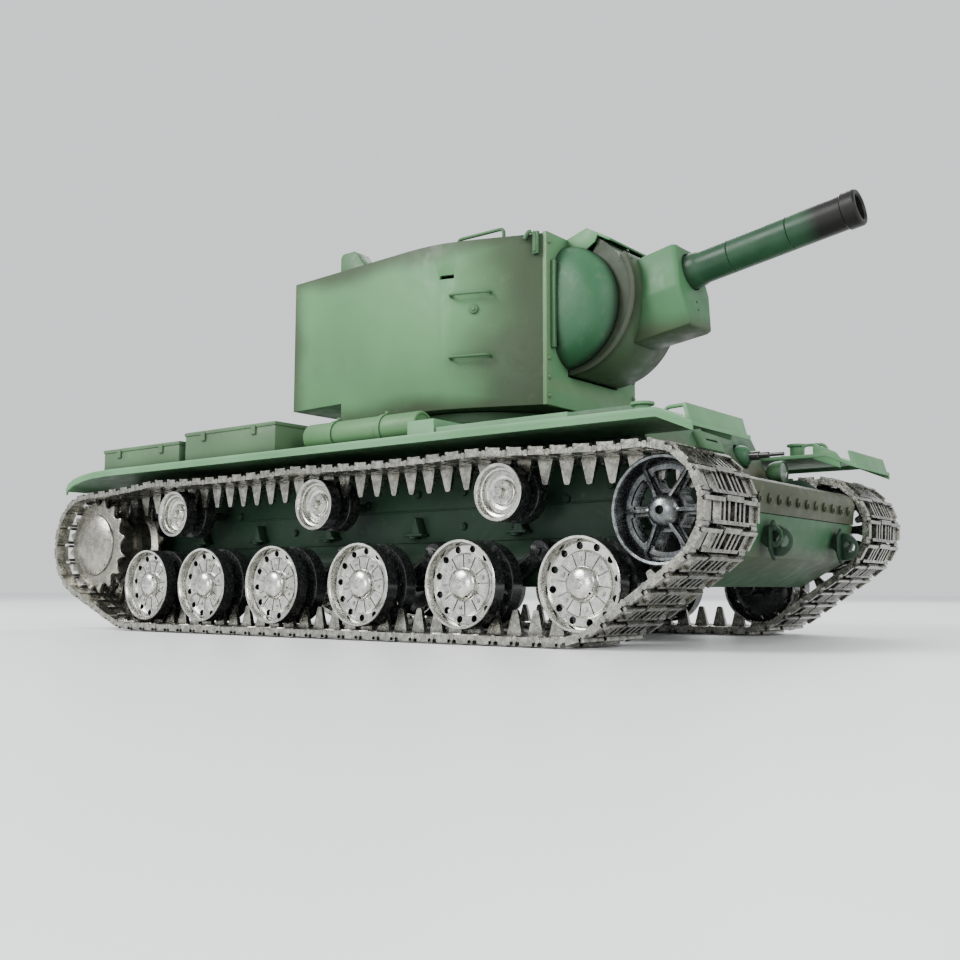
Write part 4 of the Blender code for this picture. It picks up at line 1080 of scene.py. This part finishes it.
def gunBoxShape():
    bm = bmesh.new()
    stations = ((18, -1.2), (30, -0.4), (50.6, 0.1), (53.0, -0.5))
    face = bm.faces.new([bm.verts.new(Vector(p) * mm) for p in boxSection(*stations[0])])
    for index, station in enumerate(stations[1:]):
        grown = bmesh.ops.extrude_face_region(bm, geom=[face])["geom"]
        if index:
            bmesh.ops.delete(bm, geom=[face], context="FACES_ONLY")  # it would be left inside
        face = next(part for part in grown if isinstance(part, bmesh.types.BMFace))
        section = [Vector(place) * mm for place in boxSection(*station)]
        for vert in face.verts:
            vert.co = min(section, key=lambda place: (place.yz - vert.co.yz).length)
    return rounded(facedOut(bm), 0.9 * mm, 3, 18)


def arcBand(inner, outer, start, end, lowY, highY):
    # a band swept about Y between two angles in degrees
    bm = bmesh.new()
    corners = ((inner, lowY), (outer, lowY), (outer, highY), (inner, highY))
    face = bm.faces.new([bm.verts.new(Vector((r, y, 0)) * mm) for r, y in corners])
    turned(bm, Matrix.Rotation(-math.radians(start), 4, "Y"))
    bmesh.ops.spin(bm, geom=[face, *face.edges, *face.verts], cent=(0, 0, 0), axis=(0, -1, 0),
                   angle=math.radians(end - start), steps=max(6, round((end - start) / 4)))
    bmesh.ops.remove_doubles(bm, verts=bm.verts, dist=2 * weld)
    bmesh.ops.recalc_face_normals(bm, faces=bm.faces)
    return bm


def rotorShape():
    skin = arcBand(32, gunLook["rotor"], -102, 22, -gunLook["half"], gunLook["half"])
    rounded(skin, 0.3 * mm, 2, 60)
    for y in (-19.3, 19.3):
        joined(skin, arcBand(4, 33.6, -101, 21, y - 0.8, y + 0.8))
    joined(skin, arcBand(29.4, 31.4, 18, 50, -gunLook["half"] + 0.6, gunLook["half"] - 0.6))
    wedge = arcBand(4, 30.6, 18, 49, -20.0, 20.0)
    joined(skin, carved(wedge, cylinder(8.6, 6, 42, "X", 40)))
    skin = carved(skin, cylinder(8.6, 20, 45, "X", 40))
    for z in (14.0, 10.0):
        for sign in sides.values():
            joined(skin, bolt((gunLook["rotor"] * math.cos(z / 36), sign * 17.0, z), (1, 0, z / 36),
                              0.75, 0.3, 8))
    joined(skin, cylinder(13, -18, 18, "Y", 32))
    joined(skin, cylinder(2.4, -26.6, 26.6, "Y", 20))
    joined(skin, cylinder(2.4, -18.5, -15.5, "Y", 20))
    return skin


boxPaint = paintMaterial(
    "gunBoxPaint", (("Z", 136.0 * mm, 10 * mm), ("X", 96.0 * mm, 9 * mm)),
    green=(0.053, 0.149, 0.065), shade=(0.043, 0.119, 0.051), airbrushAndShade=(0.043, 0.044, 0.025),
    strength=0.85, dustAmount=0.1)
# its dark bands are painted shade along the rotor's sides, in the gap next to the cheeks
rotorPaint = paintMaterial(
    "rotorPaint", (("absY", 20.8 * mm, 6 * mm),), green=(0.048, 0.082, 0.041),
    shade=(0.034, 0.054, 0.029),
    airbrushAndShade=(0.020, 0.023, 0.014), strength=0.8, dustAmount=0.1)

box = gunBoxShape()
box = carved(box, cylinder(8.6, 10, 60, "X", 40))
holes = bmesh.new()
for z in (-14.4, -18.2):
    joined(holes, placed(cylinder(0.62, 50, 60, "X", 12), z=z))
box = carved(box, holes)
for sign in sides.values():
    joined(box, bolt((30.0, sign * 13.2, -15.5), (0, sign, -0.2), 1.1, 0.9, 20, True))
addPiece("gun_box", gunPlaced(box), boxPaint, "gun_cradle", ["mantlet"], sharp=30)
addPiece("gun_rotor", gunPlaced(rotorShape()), rotorPaint, "gun_cradle")


def barrelMaterial():
    mat, tree, shader, coords = startMaterial("barrelPaint", 0.38, 0.0)
    split = tree.nodes.new("ShaderNodeSeparateXYZ")
    tree.links.new(coords, split.inputs[0])
    large = noiseNode(tree, coords, 60.0, 3.0)
    fine = noiseNode(tree, coords, 2600.0, 2.0)
    colour = mixColour(tree, rangeNode(tree, large, 0.3, 0.7), (0.012, 0.042, 0.020),
                       (0.018, 0.058, 0.027))
    along = mathNode(tree, "ADD", split.outputs["X"], mathNode(tree, "MULTIPLY", large, 10 * mm))
    colour = mixColour(tree, rangeNode(tree, along, 190 * mm, 201 * mm), colour, (0.007, 0.007, 0.006))
    # painted shade on the barrel next to the gun box's front face, fading over about 12 mm
    shadeAtBox = rangeNode(tree, along, 134 * mm, 146 * mm, 0.55, 0.0)
    colour = mixColour(tree, shadeAtBox, colour, (0.020, 0.028, 0.016))
    tree.links.new(colour, shader.inputs["Base Color"])
    tree.links.new(rangeNode(tree, large, 0.3, 0.7, 0.34, 0.48), shader.inputs["Roughness"])
    addBump(tree, shader, fine, 0.3, 0.00006)
    return mat


def barrelShape():
    length, radius = gunLook["length"], gunLook["barrel"]
    profile = [(0, 26), (radius, 26), (radius, 52), (8.0, 52.4), (8.0, 56.8), (7.7, 58.2), (radius, 60.0)]
    for groove in (73.6, 100.9):
        profile += [(radius, groove - 0.35), (radius - 0.45, groove), (radius, groove + 0.35)]
    profile += [(radius, length - 6.6), (radius + 0.55, length - 6.0), (radius + 0.55, length - 0.9),
                (radius, length - 0.1), (6.0, length), (5.3, length - 0.7), (4.9, length - 14),
                (0, length - 14)]
    bm = spun(profile, 56)
    turned(bm, Matrix.Rotation(-math.pi / 2, 4, "Z"))
    return gunPlaced(bm)


addPiece("barrel_look", barrelShape(), barrelMaterial(), "gun_barrel", ["gun_barrel"],
         sharp=25)
# a black disc at the bottom of the bore: painted shade deep in the bore
boreShade = cylinder(4.95, gunLook["length"] - 13.9, gunLook["length"] - 13.4, "X", 32)
joined(boreShade, cylinder(4.6, gunLook["length"] - 13.4, gunLook["length"] - 12.8, "X", 32))
addPiece("barrel_bore_shade", gunPlaced(boreShade), gunBlack, "gun_barrel")
print("gun made")


# inner=0.75 makes its painted shade in hollows darker
hullPaint = paintMaterial(
    "hullPaint", (), green=(0.020, 0.048, 0.027), shade=(0.012, 0.031, 0.018), dustAmount=0.12,
    inner=0.75)
nosePaint = paintMaterial(
    "nosePaint", (("Z", 34.0 * mm, 8 * mm), ("absY", 56.0 * mm, 9 * mm)),
    green=(0.034, 0.092, 0.044), shade=(0.027, 0.073, 0.034), airbrushAndShade=(0.042, 0.049, 0.026),
    strength=0.75)
flangePaint = paintMaterial(
    "flangePaint", (), green=(0.051, 0.058, 0.034), shade=(0.038, 0.045, 0.026), dustAmount=0.2)
deckPaint = paintMaterial(
    "deckPaint", (("X", 145.0 * mm, 8 * mm),), green=(0.041, 0.102, 0.048), shade=(0.033, 0.082, 0.038))
sheetPaint = paintMaterial(
    "fenderPaint", (("Z", 85.4 * mm, 0.6 * mm),), green=(0.110, 0.237, 0.122),
    shade=(0.082, 0.197, 0.093),
    airbrushAndShade=(0.162, 0.229, 0.126), strength=0.5, dustAmount=0.15)
boxLidPaint = paintMaterial(
    "stowagePaint", (), green=(0.068, 0.129, 0.065), shade=(0.058, 0.105, 0.054), dustAmount=0.25)
drumPaint = paintMaterial(
    "drumPaint", (), green=(0.085, 0.190, 0.085), shade=(0.071, 0.160, 0.068), dustAmount=0.15)

lugPaint = paintMaterial("lugPaint", (), green=(0.014, 0.037, 0.019), shade=(0.008, 0.023, 0.012),
                         dustAmount=0.06)

lower = copyOf("lower_hull", 0.35 * mm)
hull = addPiece("lower_hull_look", lower, hullPaint, "root", ["lower_hull"],
                extra=nosePaint)
for face in hull.data.polygons:
    face.material_index = 1 if face.normal.x > 0.25 and face.center.x > 120 * mm else 0

upper = copyOf("upper_hull", 0.35 * mm)
deck = addPiece("upper_hull_look", upper, deckPaint, "root", ["upper_hull"],
                extra=flangePaint)
for face in deck.data.polygons:
    nose = face.center.x > 146 * mm and face.center.z > 51 * mm
    face.material_index = 1 if nose else 0


def addHullDetails():
    bolts = bmesh.new()
    for sign in sides.values():
        ends = sideEnds(sign, 55.8, 56.9)
        side = plate([(-196, 75), (-196, 58), (-182, 46), (-168, 42.8), (158, 42.8), (171, 52),
                      (171, 66), (160, 73), (120, 75)],
                     *ends, "XZ", 0.3)
        joined(bolts, side)
        strip = sideEnds(sign, 56.4, 57.5)
        joined(bolts, block((-165, strip[0], 57.2), (140, strip[1], 58.0), 0.2))
        for x, z in ((-11.1, 61.7), (20.8, 65.2), (48.3, 65.0), (21, 50.3), (48.3, 49.7), (103.6, 59.4),
                     (-105.1, 59.9),
                     (-62, 64), (-62, 50), (76, 50), (125, 64)):
            joined(bolts, bolt((x, sign * 56.8, z), (0, sign, 0), 2.0, 1.7, 6))
            joined(bolts, bolt((x, sign * 58.3, z), (0, sign, 0), 1.0, 0.5, 12))
    addPiece("hull_side_plates", bolts, hullPaint, "root")

    stops = bmesh.new()
    for sign in sides.values():
        for i in range(1, 7):
            hub = middle(f"road_wheel_{'left' if sign > 0 else 'right'}_{i}") / mm
            ends = sideEnds(sign, 56.4, 62.5)
            shelf = plate([(hub.x + 2, 45.6), (hub.x + 13, 45.6), (hub.x + 13, 47.0),
                           (hub.x + 2, 47.0)], *ends, "XZ", 0.3)
            gusset = plate([(hub.x + 6.5, 46.5), (hub.x + 12, 46.5), (hub.x + 9, 54.5),
                            (hub.x + 7.6, 54.5)],
                           ends[0], ends[1] if sign < 0 else ends[1] - 2, "XZ", 0.3)
            pad = moved(cylinder(2.3, 44.6, 46.2, "Z", 18, None, 0.3),
                        (hub.x * mm + 6 * mm, sign * 59.8 * mm, 0))
            joined(stops, shelf, gusset, pad)
    addPiece("bump_stops", stops, hullPaint, "root")

    flange = bmesh.new()
    for i in range(11):
        y = -47.5 + 9.5 * i
        rim = cylinder(2.05, 184.0, 184.6, "X", 16)
        bmesh.ops.scale(rim, vec=(1, 0.72, 1), verts=rim.verts)
        joined(flange, placed(rim, y=y, z=56.8))
        joined(flange, placed(cylinder(0.9, 184.0, 185.2, "X", 6), y=y + 0.1, z=56.2))
    addPiece("nose_bolts", flange, flangePaint, "root")

    lugs = bmesh.new()
    for sign in sides.values():
        y = 36.0 * sign
        lug = plate([(184.6, 34.2), (188.2, 34.6), (191.2, 36.6), (192.6, 40.0), (191.4, 43.8),
                     (188.6, 46.2), (184.6, 46.8)],
                    y - 1.7, y + 1.7, "XZ", 0.5)
        lug = carved(lug, placed(cylinder(2.5, -60, 60, "Y", 18), x=188.6, z=40.4))
        joined(lugs, lug, plate([(y - 4.4, 37.0), (y, 32.6), (y + 4.4, 37.0), (y + 4.4, 45.0),
                                 (y, 49.0), (y - 4.4, 45.0)],
                                183.6, 185.2, "YZ", 0.4))
    addPiece("tow_lugs", lugs, lugPaint, "root")


hullGunPlace = (140.0, 33.0, 83.2)


def addDeck():
    bm = bmesh.new()
    joined(bm, placed(cylinder(17.5, 95.8, 99.6, "Z", 48, 16.6, 0.5), x=-101.4))
    for i in range(8):
        angle = turn * i / 8
        joined(bm, bolt((-101.4 + 14.6 * math.cos(angle), 14.6 * math.sin(angle), 99.5), (0, 0, 1), 0.9,
                        0.6, 6))
    for sign in sides.values():
        for i in range(9):
            corner = Vector((-176 + 5.0 * i, sign * 32 - 14, 95.9))
            joined(bm, block(corner, corner + Vector((2.4, 28, 1.6)), 0.3))
        frame = sideEnds(sign, 16, 49)
        joined(bm, block((-180, frame[0], 95.7), (-129, frame[1], 96.3), 0.2))
        cover = sideEnds(sign, 20, 46)
        joined(bm, block((-84, cover[0], 95.8), (-66, cover[1], 96.7), 0.3))
        for x in (-62, -40):
            joined(bm, bolt((x, sign * 52, 95.9), (0, 0, 1), 1.0, 0.6, 6))
    joined(bm, placed(cylinder(8.5, 95.8, 98.0, "Z", 36, 8.0, 0.4), x=112, y=-33))
    joined(bm, block((104, -10, 95.8), (120, 10, 98.4), 0.6, 2))
    addPiece("deck_details", bm, deckPaint, "root")

    tilt = math.atan2(11.0, 23.9)
    visor = block((-2.2, -9.5, -5), (2.4, 9.5, 5), 0.7, 2)
    visor = carved(visor, block((1.2, -5.5, -0.5), (4, 5.5, 0.5)))
    turned(visor, Matrix.Rotation(-tilt, 4, "Y"))
    placed(visor, x=139.6, z=86)
    addPiece("driver_visor", visor, detailPaint, "root")

    gun = bmesh.new()
    bmesh.ops.create_uvsphere(gun, u_segments=32, v_segments=16, radius=5.3 * mm)
    placed(gun, *hullGunPlace)
    addPiece("hull_mg_ball", gun, castPaint, "hull_mg", ["hull_mg"])
    tube = cylinder(2.1, 4.0, 9.4, "X", 18, None, 0.25)
    for radius, start, end in ((1.45, 9.0, 14.0), (0.9, 13.5, 21.0)):
        joined(tube, cylinder(radius, start, end, "X", 18, None, 0.25))
    addPiece("hull_mg_barrel", placed(tube, *hullGunPlace), gunBlack, "hull_mg")


def lampGlassMaterial():
    mat, tree, shader, coords = startMaterial("headlampGlass", 0.06, 0.0)
    shader.inputs["Coat Weight"].default_value = 1.0
    ripple = noiseNode(tree, coords, 900.0, 2.0)
    colour = mixColour(tree, ripple, (0.10, 0.12, 0.11), (0.20, 0.22, 0.21))
    tree.links.new(colour, shader.inputs["Base Color"])
    addBump(tree, shader, ripple, 0.3, 0.0002)
    return mat


def addHeadlamp():
    x, y, z = 153.1, 44.0, 76.1
    bm = spun([(0, -5.2), (2.6, -4.8), (4.2, -3.4), (5.0, -1.0), (5.2, 1.6), (5.2, 3.2), (4.7, 3.4),
               (4.5, 2.6), (0, 2.4)], 36)
    turned(bm, Matrix.Rotation(-math.pi / 2, 4, "Z"))
    placed(bm, x, y, z)
    joined(bm, block((x - 2, y - 1.4, 65.2), (x + 1, y + 1.4, z - 4.4), 0.4))
    addPiece("headlight_case", bm, detailPaint, "root", ["headlight"])
    glass = spun([(0, 3.9), (2.4, 3.6), (4.0, 3.0), (4.5, 2.7), (4.5, 2.3), (0, 2.3)], 36)
    turned(glass, Matrix.Rotation(-math.pi / 2, 4, "Z"))
    placed(glass, x, y, z)
    addPiece("headlight_glass", glass, lampGlassMaterial(), "root")


addHullDetails()
addDeck()
addHeadlamp()
print("hull made")


def addFender(side, sign):
    bm = copyOf(f"fender_{side}", 0.3 * mm)
    addPiece(f"fender_{side}_look", bm, sheetPaint, "root", [f"fender_{side}"])
    details = bmesh.new()
    for x in (-150, -120, -62, -10, 34, 112, 150):
        ends = sideEnds(sign, 58, 99)
        joined(details, plate([(ends[0], 84.9), (ends[1], 84.9), (ends[1], 85.5), (ends[0], 85.5)],
                              x - 1.2, x + 1.2, "YZ", 0.2))
        joined(details, bolt((x, sign * 100.4, 85.0), (0, 0, 1), 0.8, 0.5, 6))
    for x in (178, -188):
        lean = 1 if x > 0 else -1
        gusset = plate([(x, 77.5 if x > 0 else 78.4), (x - 13 * lean, 82.6),
                        (x - 13 * lean, 90.2 if x > 0 else 84), (x - 2 * lean, 85.2), (x, 82.2)],
                       *sideEnds(sign, 56.5, 57.7), "XZ", 0.2)
        joined(details, gusset)
    ends = sideEnds(sign, 72, 90)
    joined(details, block((176.6, ends[0], 80.3), (182.6, ends[1], 81.6), 0.3))
    spool = spun([(0, 0), (4.6, 0), (4.6, 1.0), (3.2, 1.4), (3.2, 6.2), (4.6, 6.6), (4.6, 7.6),
                  (0, 7.6)], 32)
    turned(spool, Matrix.Rotation(math.pi / 2, 4, "X"))
    joined(details, placed(spool, 150, sign * 75, 85.0))
    joined(details, wire([(156, sign * 68, 85.2), (156, sign * 68, 91), (166, sign * 70, 91),
                          (168, sign * 71, 84.5)], 0.8, 2.2, 10))
    addPiece(f"fender_{side}_details", details, sheetPaint, "root")

    for which, name in (("rear", "stowage_box_rear"), ("middle", "stowage_box_middle")):
        node = f"{name}_{side}"
        a, b = low(node) / mm, high(node) / mm
        box = block(a, (b.x, b.y, b.z - 1.6), 0.5, 2)
        joined(box, block((a.x - 0.5, a.y - 0.5, b.z - 1.9), (b.x + 0.5, b.y + 0.5, b.z), 0.5, 2))
        for share in (0.22, 0.78):
            x = a.x + (b.x - a.x) * share
            y = b.y if sign > 0 else a.y
            face = sorted((y - 0.2 * sign, y + 1.0 * sign))
            joined(box, block((x - 1.6, face[0], b.z - 5.2), (x + 1.6, face[1], b.z - 1.0), 0.25))
        centre = (a.x + b.x) / 2
        across = (a.y + b.y) / 2
        joined(box, wire([(centre - 7, across, b.z - 0.2), (centre - 7, across, b.z + 2.2),
                          (centre + 7, across, b.z + 2.2),
                          (centre + 7, across, b.z - 0.2)], 0.55, 1.4, 10))
        addPiece(f"{node}_look", box, boxLidPaint, "root", [node])

    node = f"fuel_drum_{side}"
    a, b = low(node) / mm, high(node) / mm
    centreY, centreZ = sign * 84.0, 92.3
    length = (b.x - a.x)
    profile = [(0, 0), (4.8, 0), (5.1, -0.5), (5.9, -0.5), (6.4, 0.3), (6.4, length - 0.3),
               (5.9, length + 0.5), (5.1, length + 0.5),
               (4.8, length), (0, length)]
    drum = spun(profile, 40)
    turned(drum, Matrix.Rotation(-math.pi / 2, 4, "Z"))
    placed(drum, a.x, centreY, centreZ)
    for x in (-4.7, 25.6):
        band = spun([(6.3, -1.3), (7.0, -1.3), (7.0, 1.3), (6.3, 1.3)], 36)
        turned(band, Matrix.Rotation(-math.pi / 2, 4, "Z"))
        joined(drum, placed(band, x, centreY, centreZ))
        joined(drum, block((x - 1.3, centreY - 6.0, 85.1), (x + 1.3, centreY + 6.0, 87.4), 0.3))
        joined(drum, bolt((x, centreY, centreZ + 6.8), (0, 0, 1), 1.0, 1.4, 6))
    addPiece(f"{node}_look", drum, drumPaint, "root", [node])


for side, sign in sides.items():
    addFender(side, sign)
print("fenders made")


# what stands inside the hull keeps its own shape; name, colour, roughness and speck
insideLook = {
    "battery": ("batteryWrap", (0.030, 0.070, 0.240), 0.35, 0.05),
    "receiver_board": ("boardLacquer", (0.012, 0.130, 0.045), 0.35, 0.05),
    "gearbox_left": ("housingGrey", (0.20, 0.20, 0.21), 0.5, 0.06),
    "gearbox_right": ("housingGrey", (0.20, 0.20, 0.21), 0.5, 0.06),
}
for node, look in insideLook.items():
    for holder in frame["nodes"][node].material_slots:
        holder.material = glossMaterial(*look)
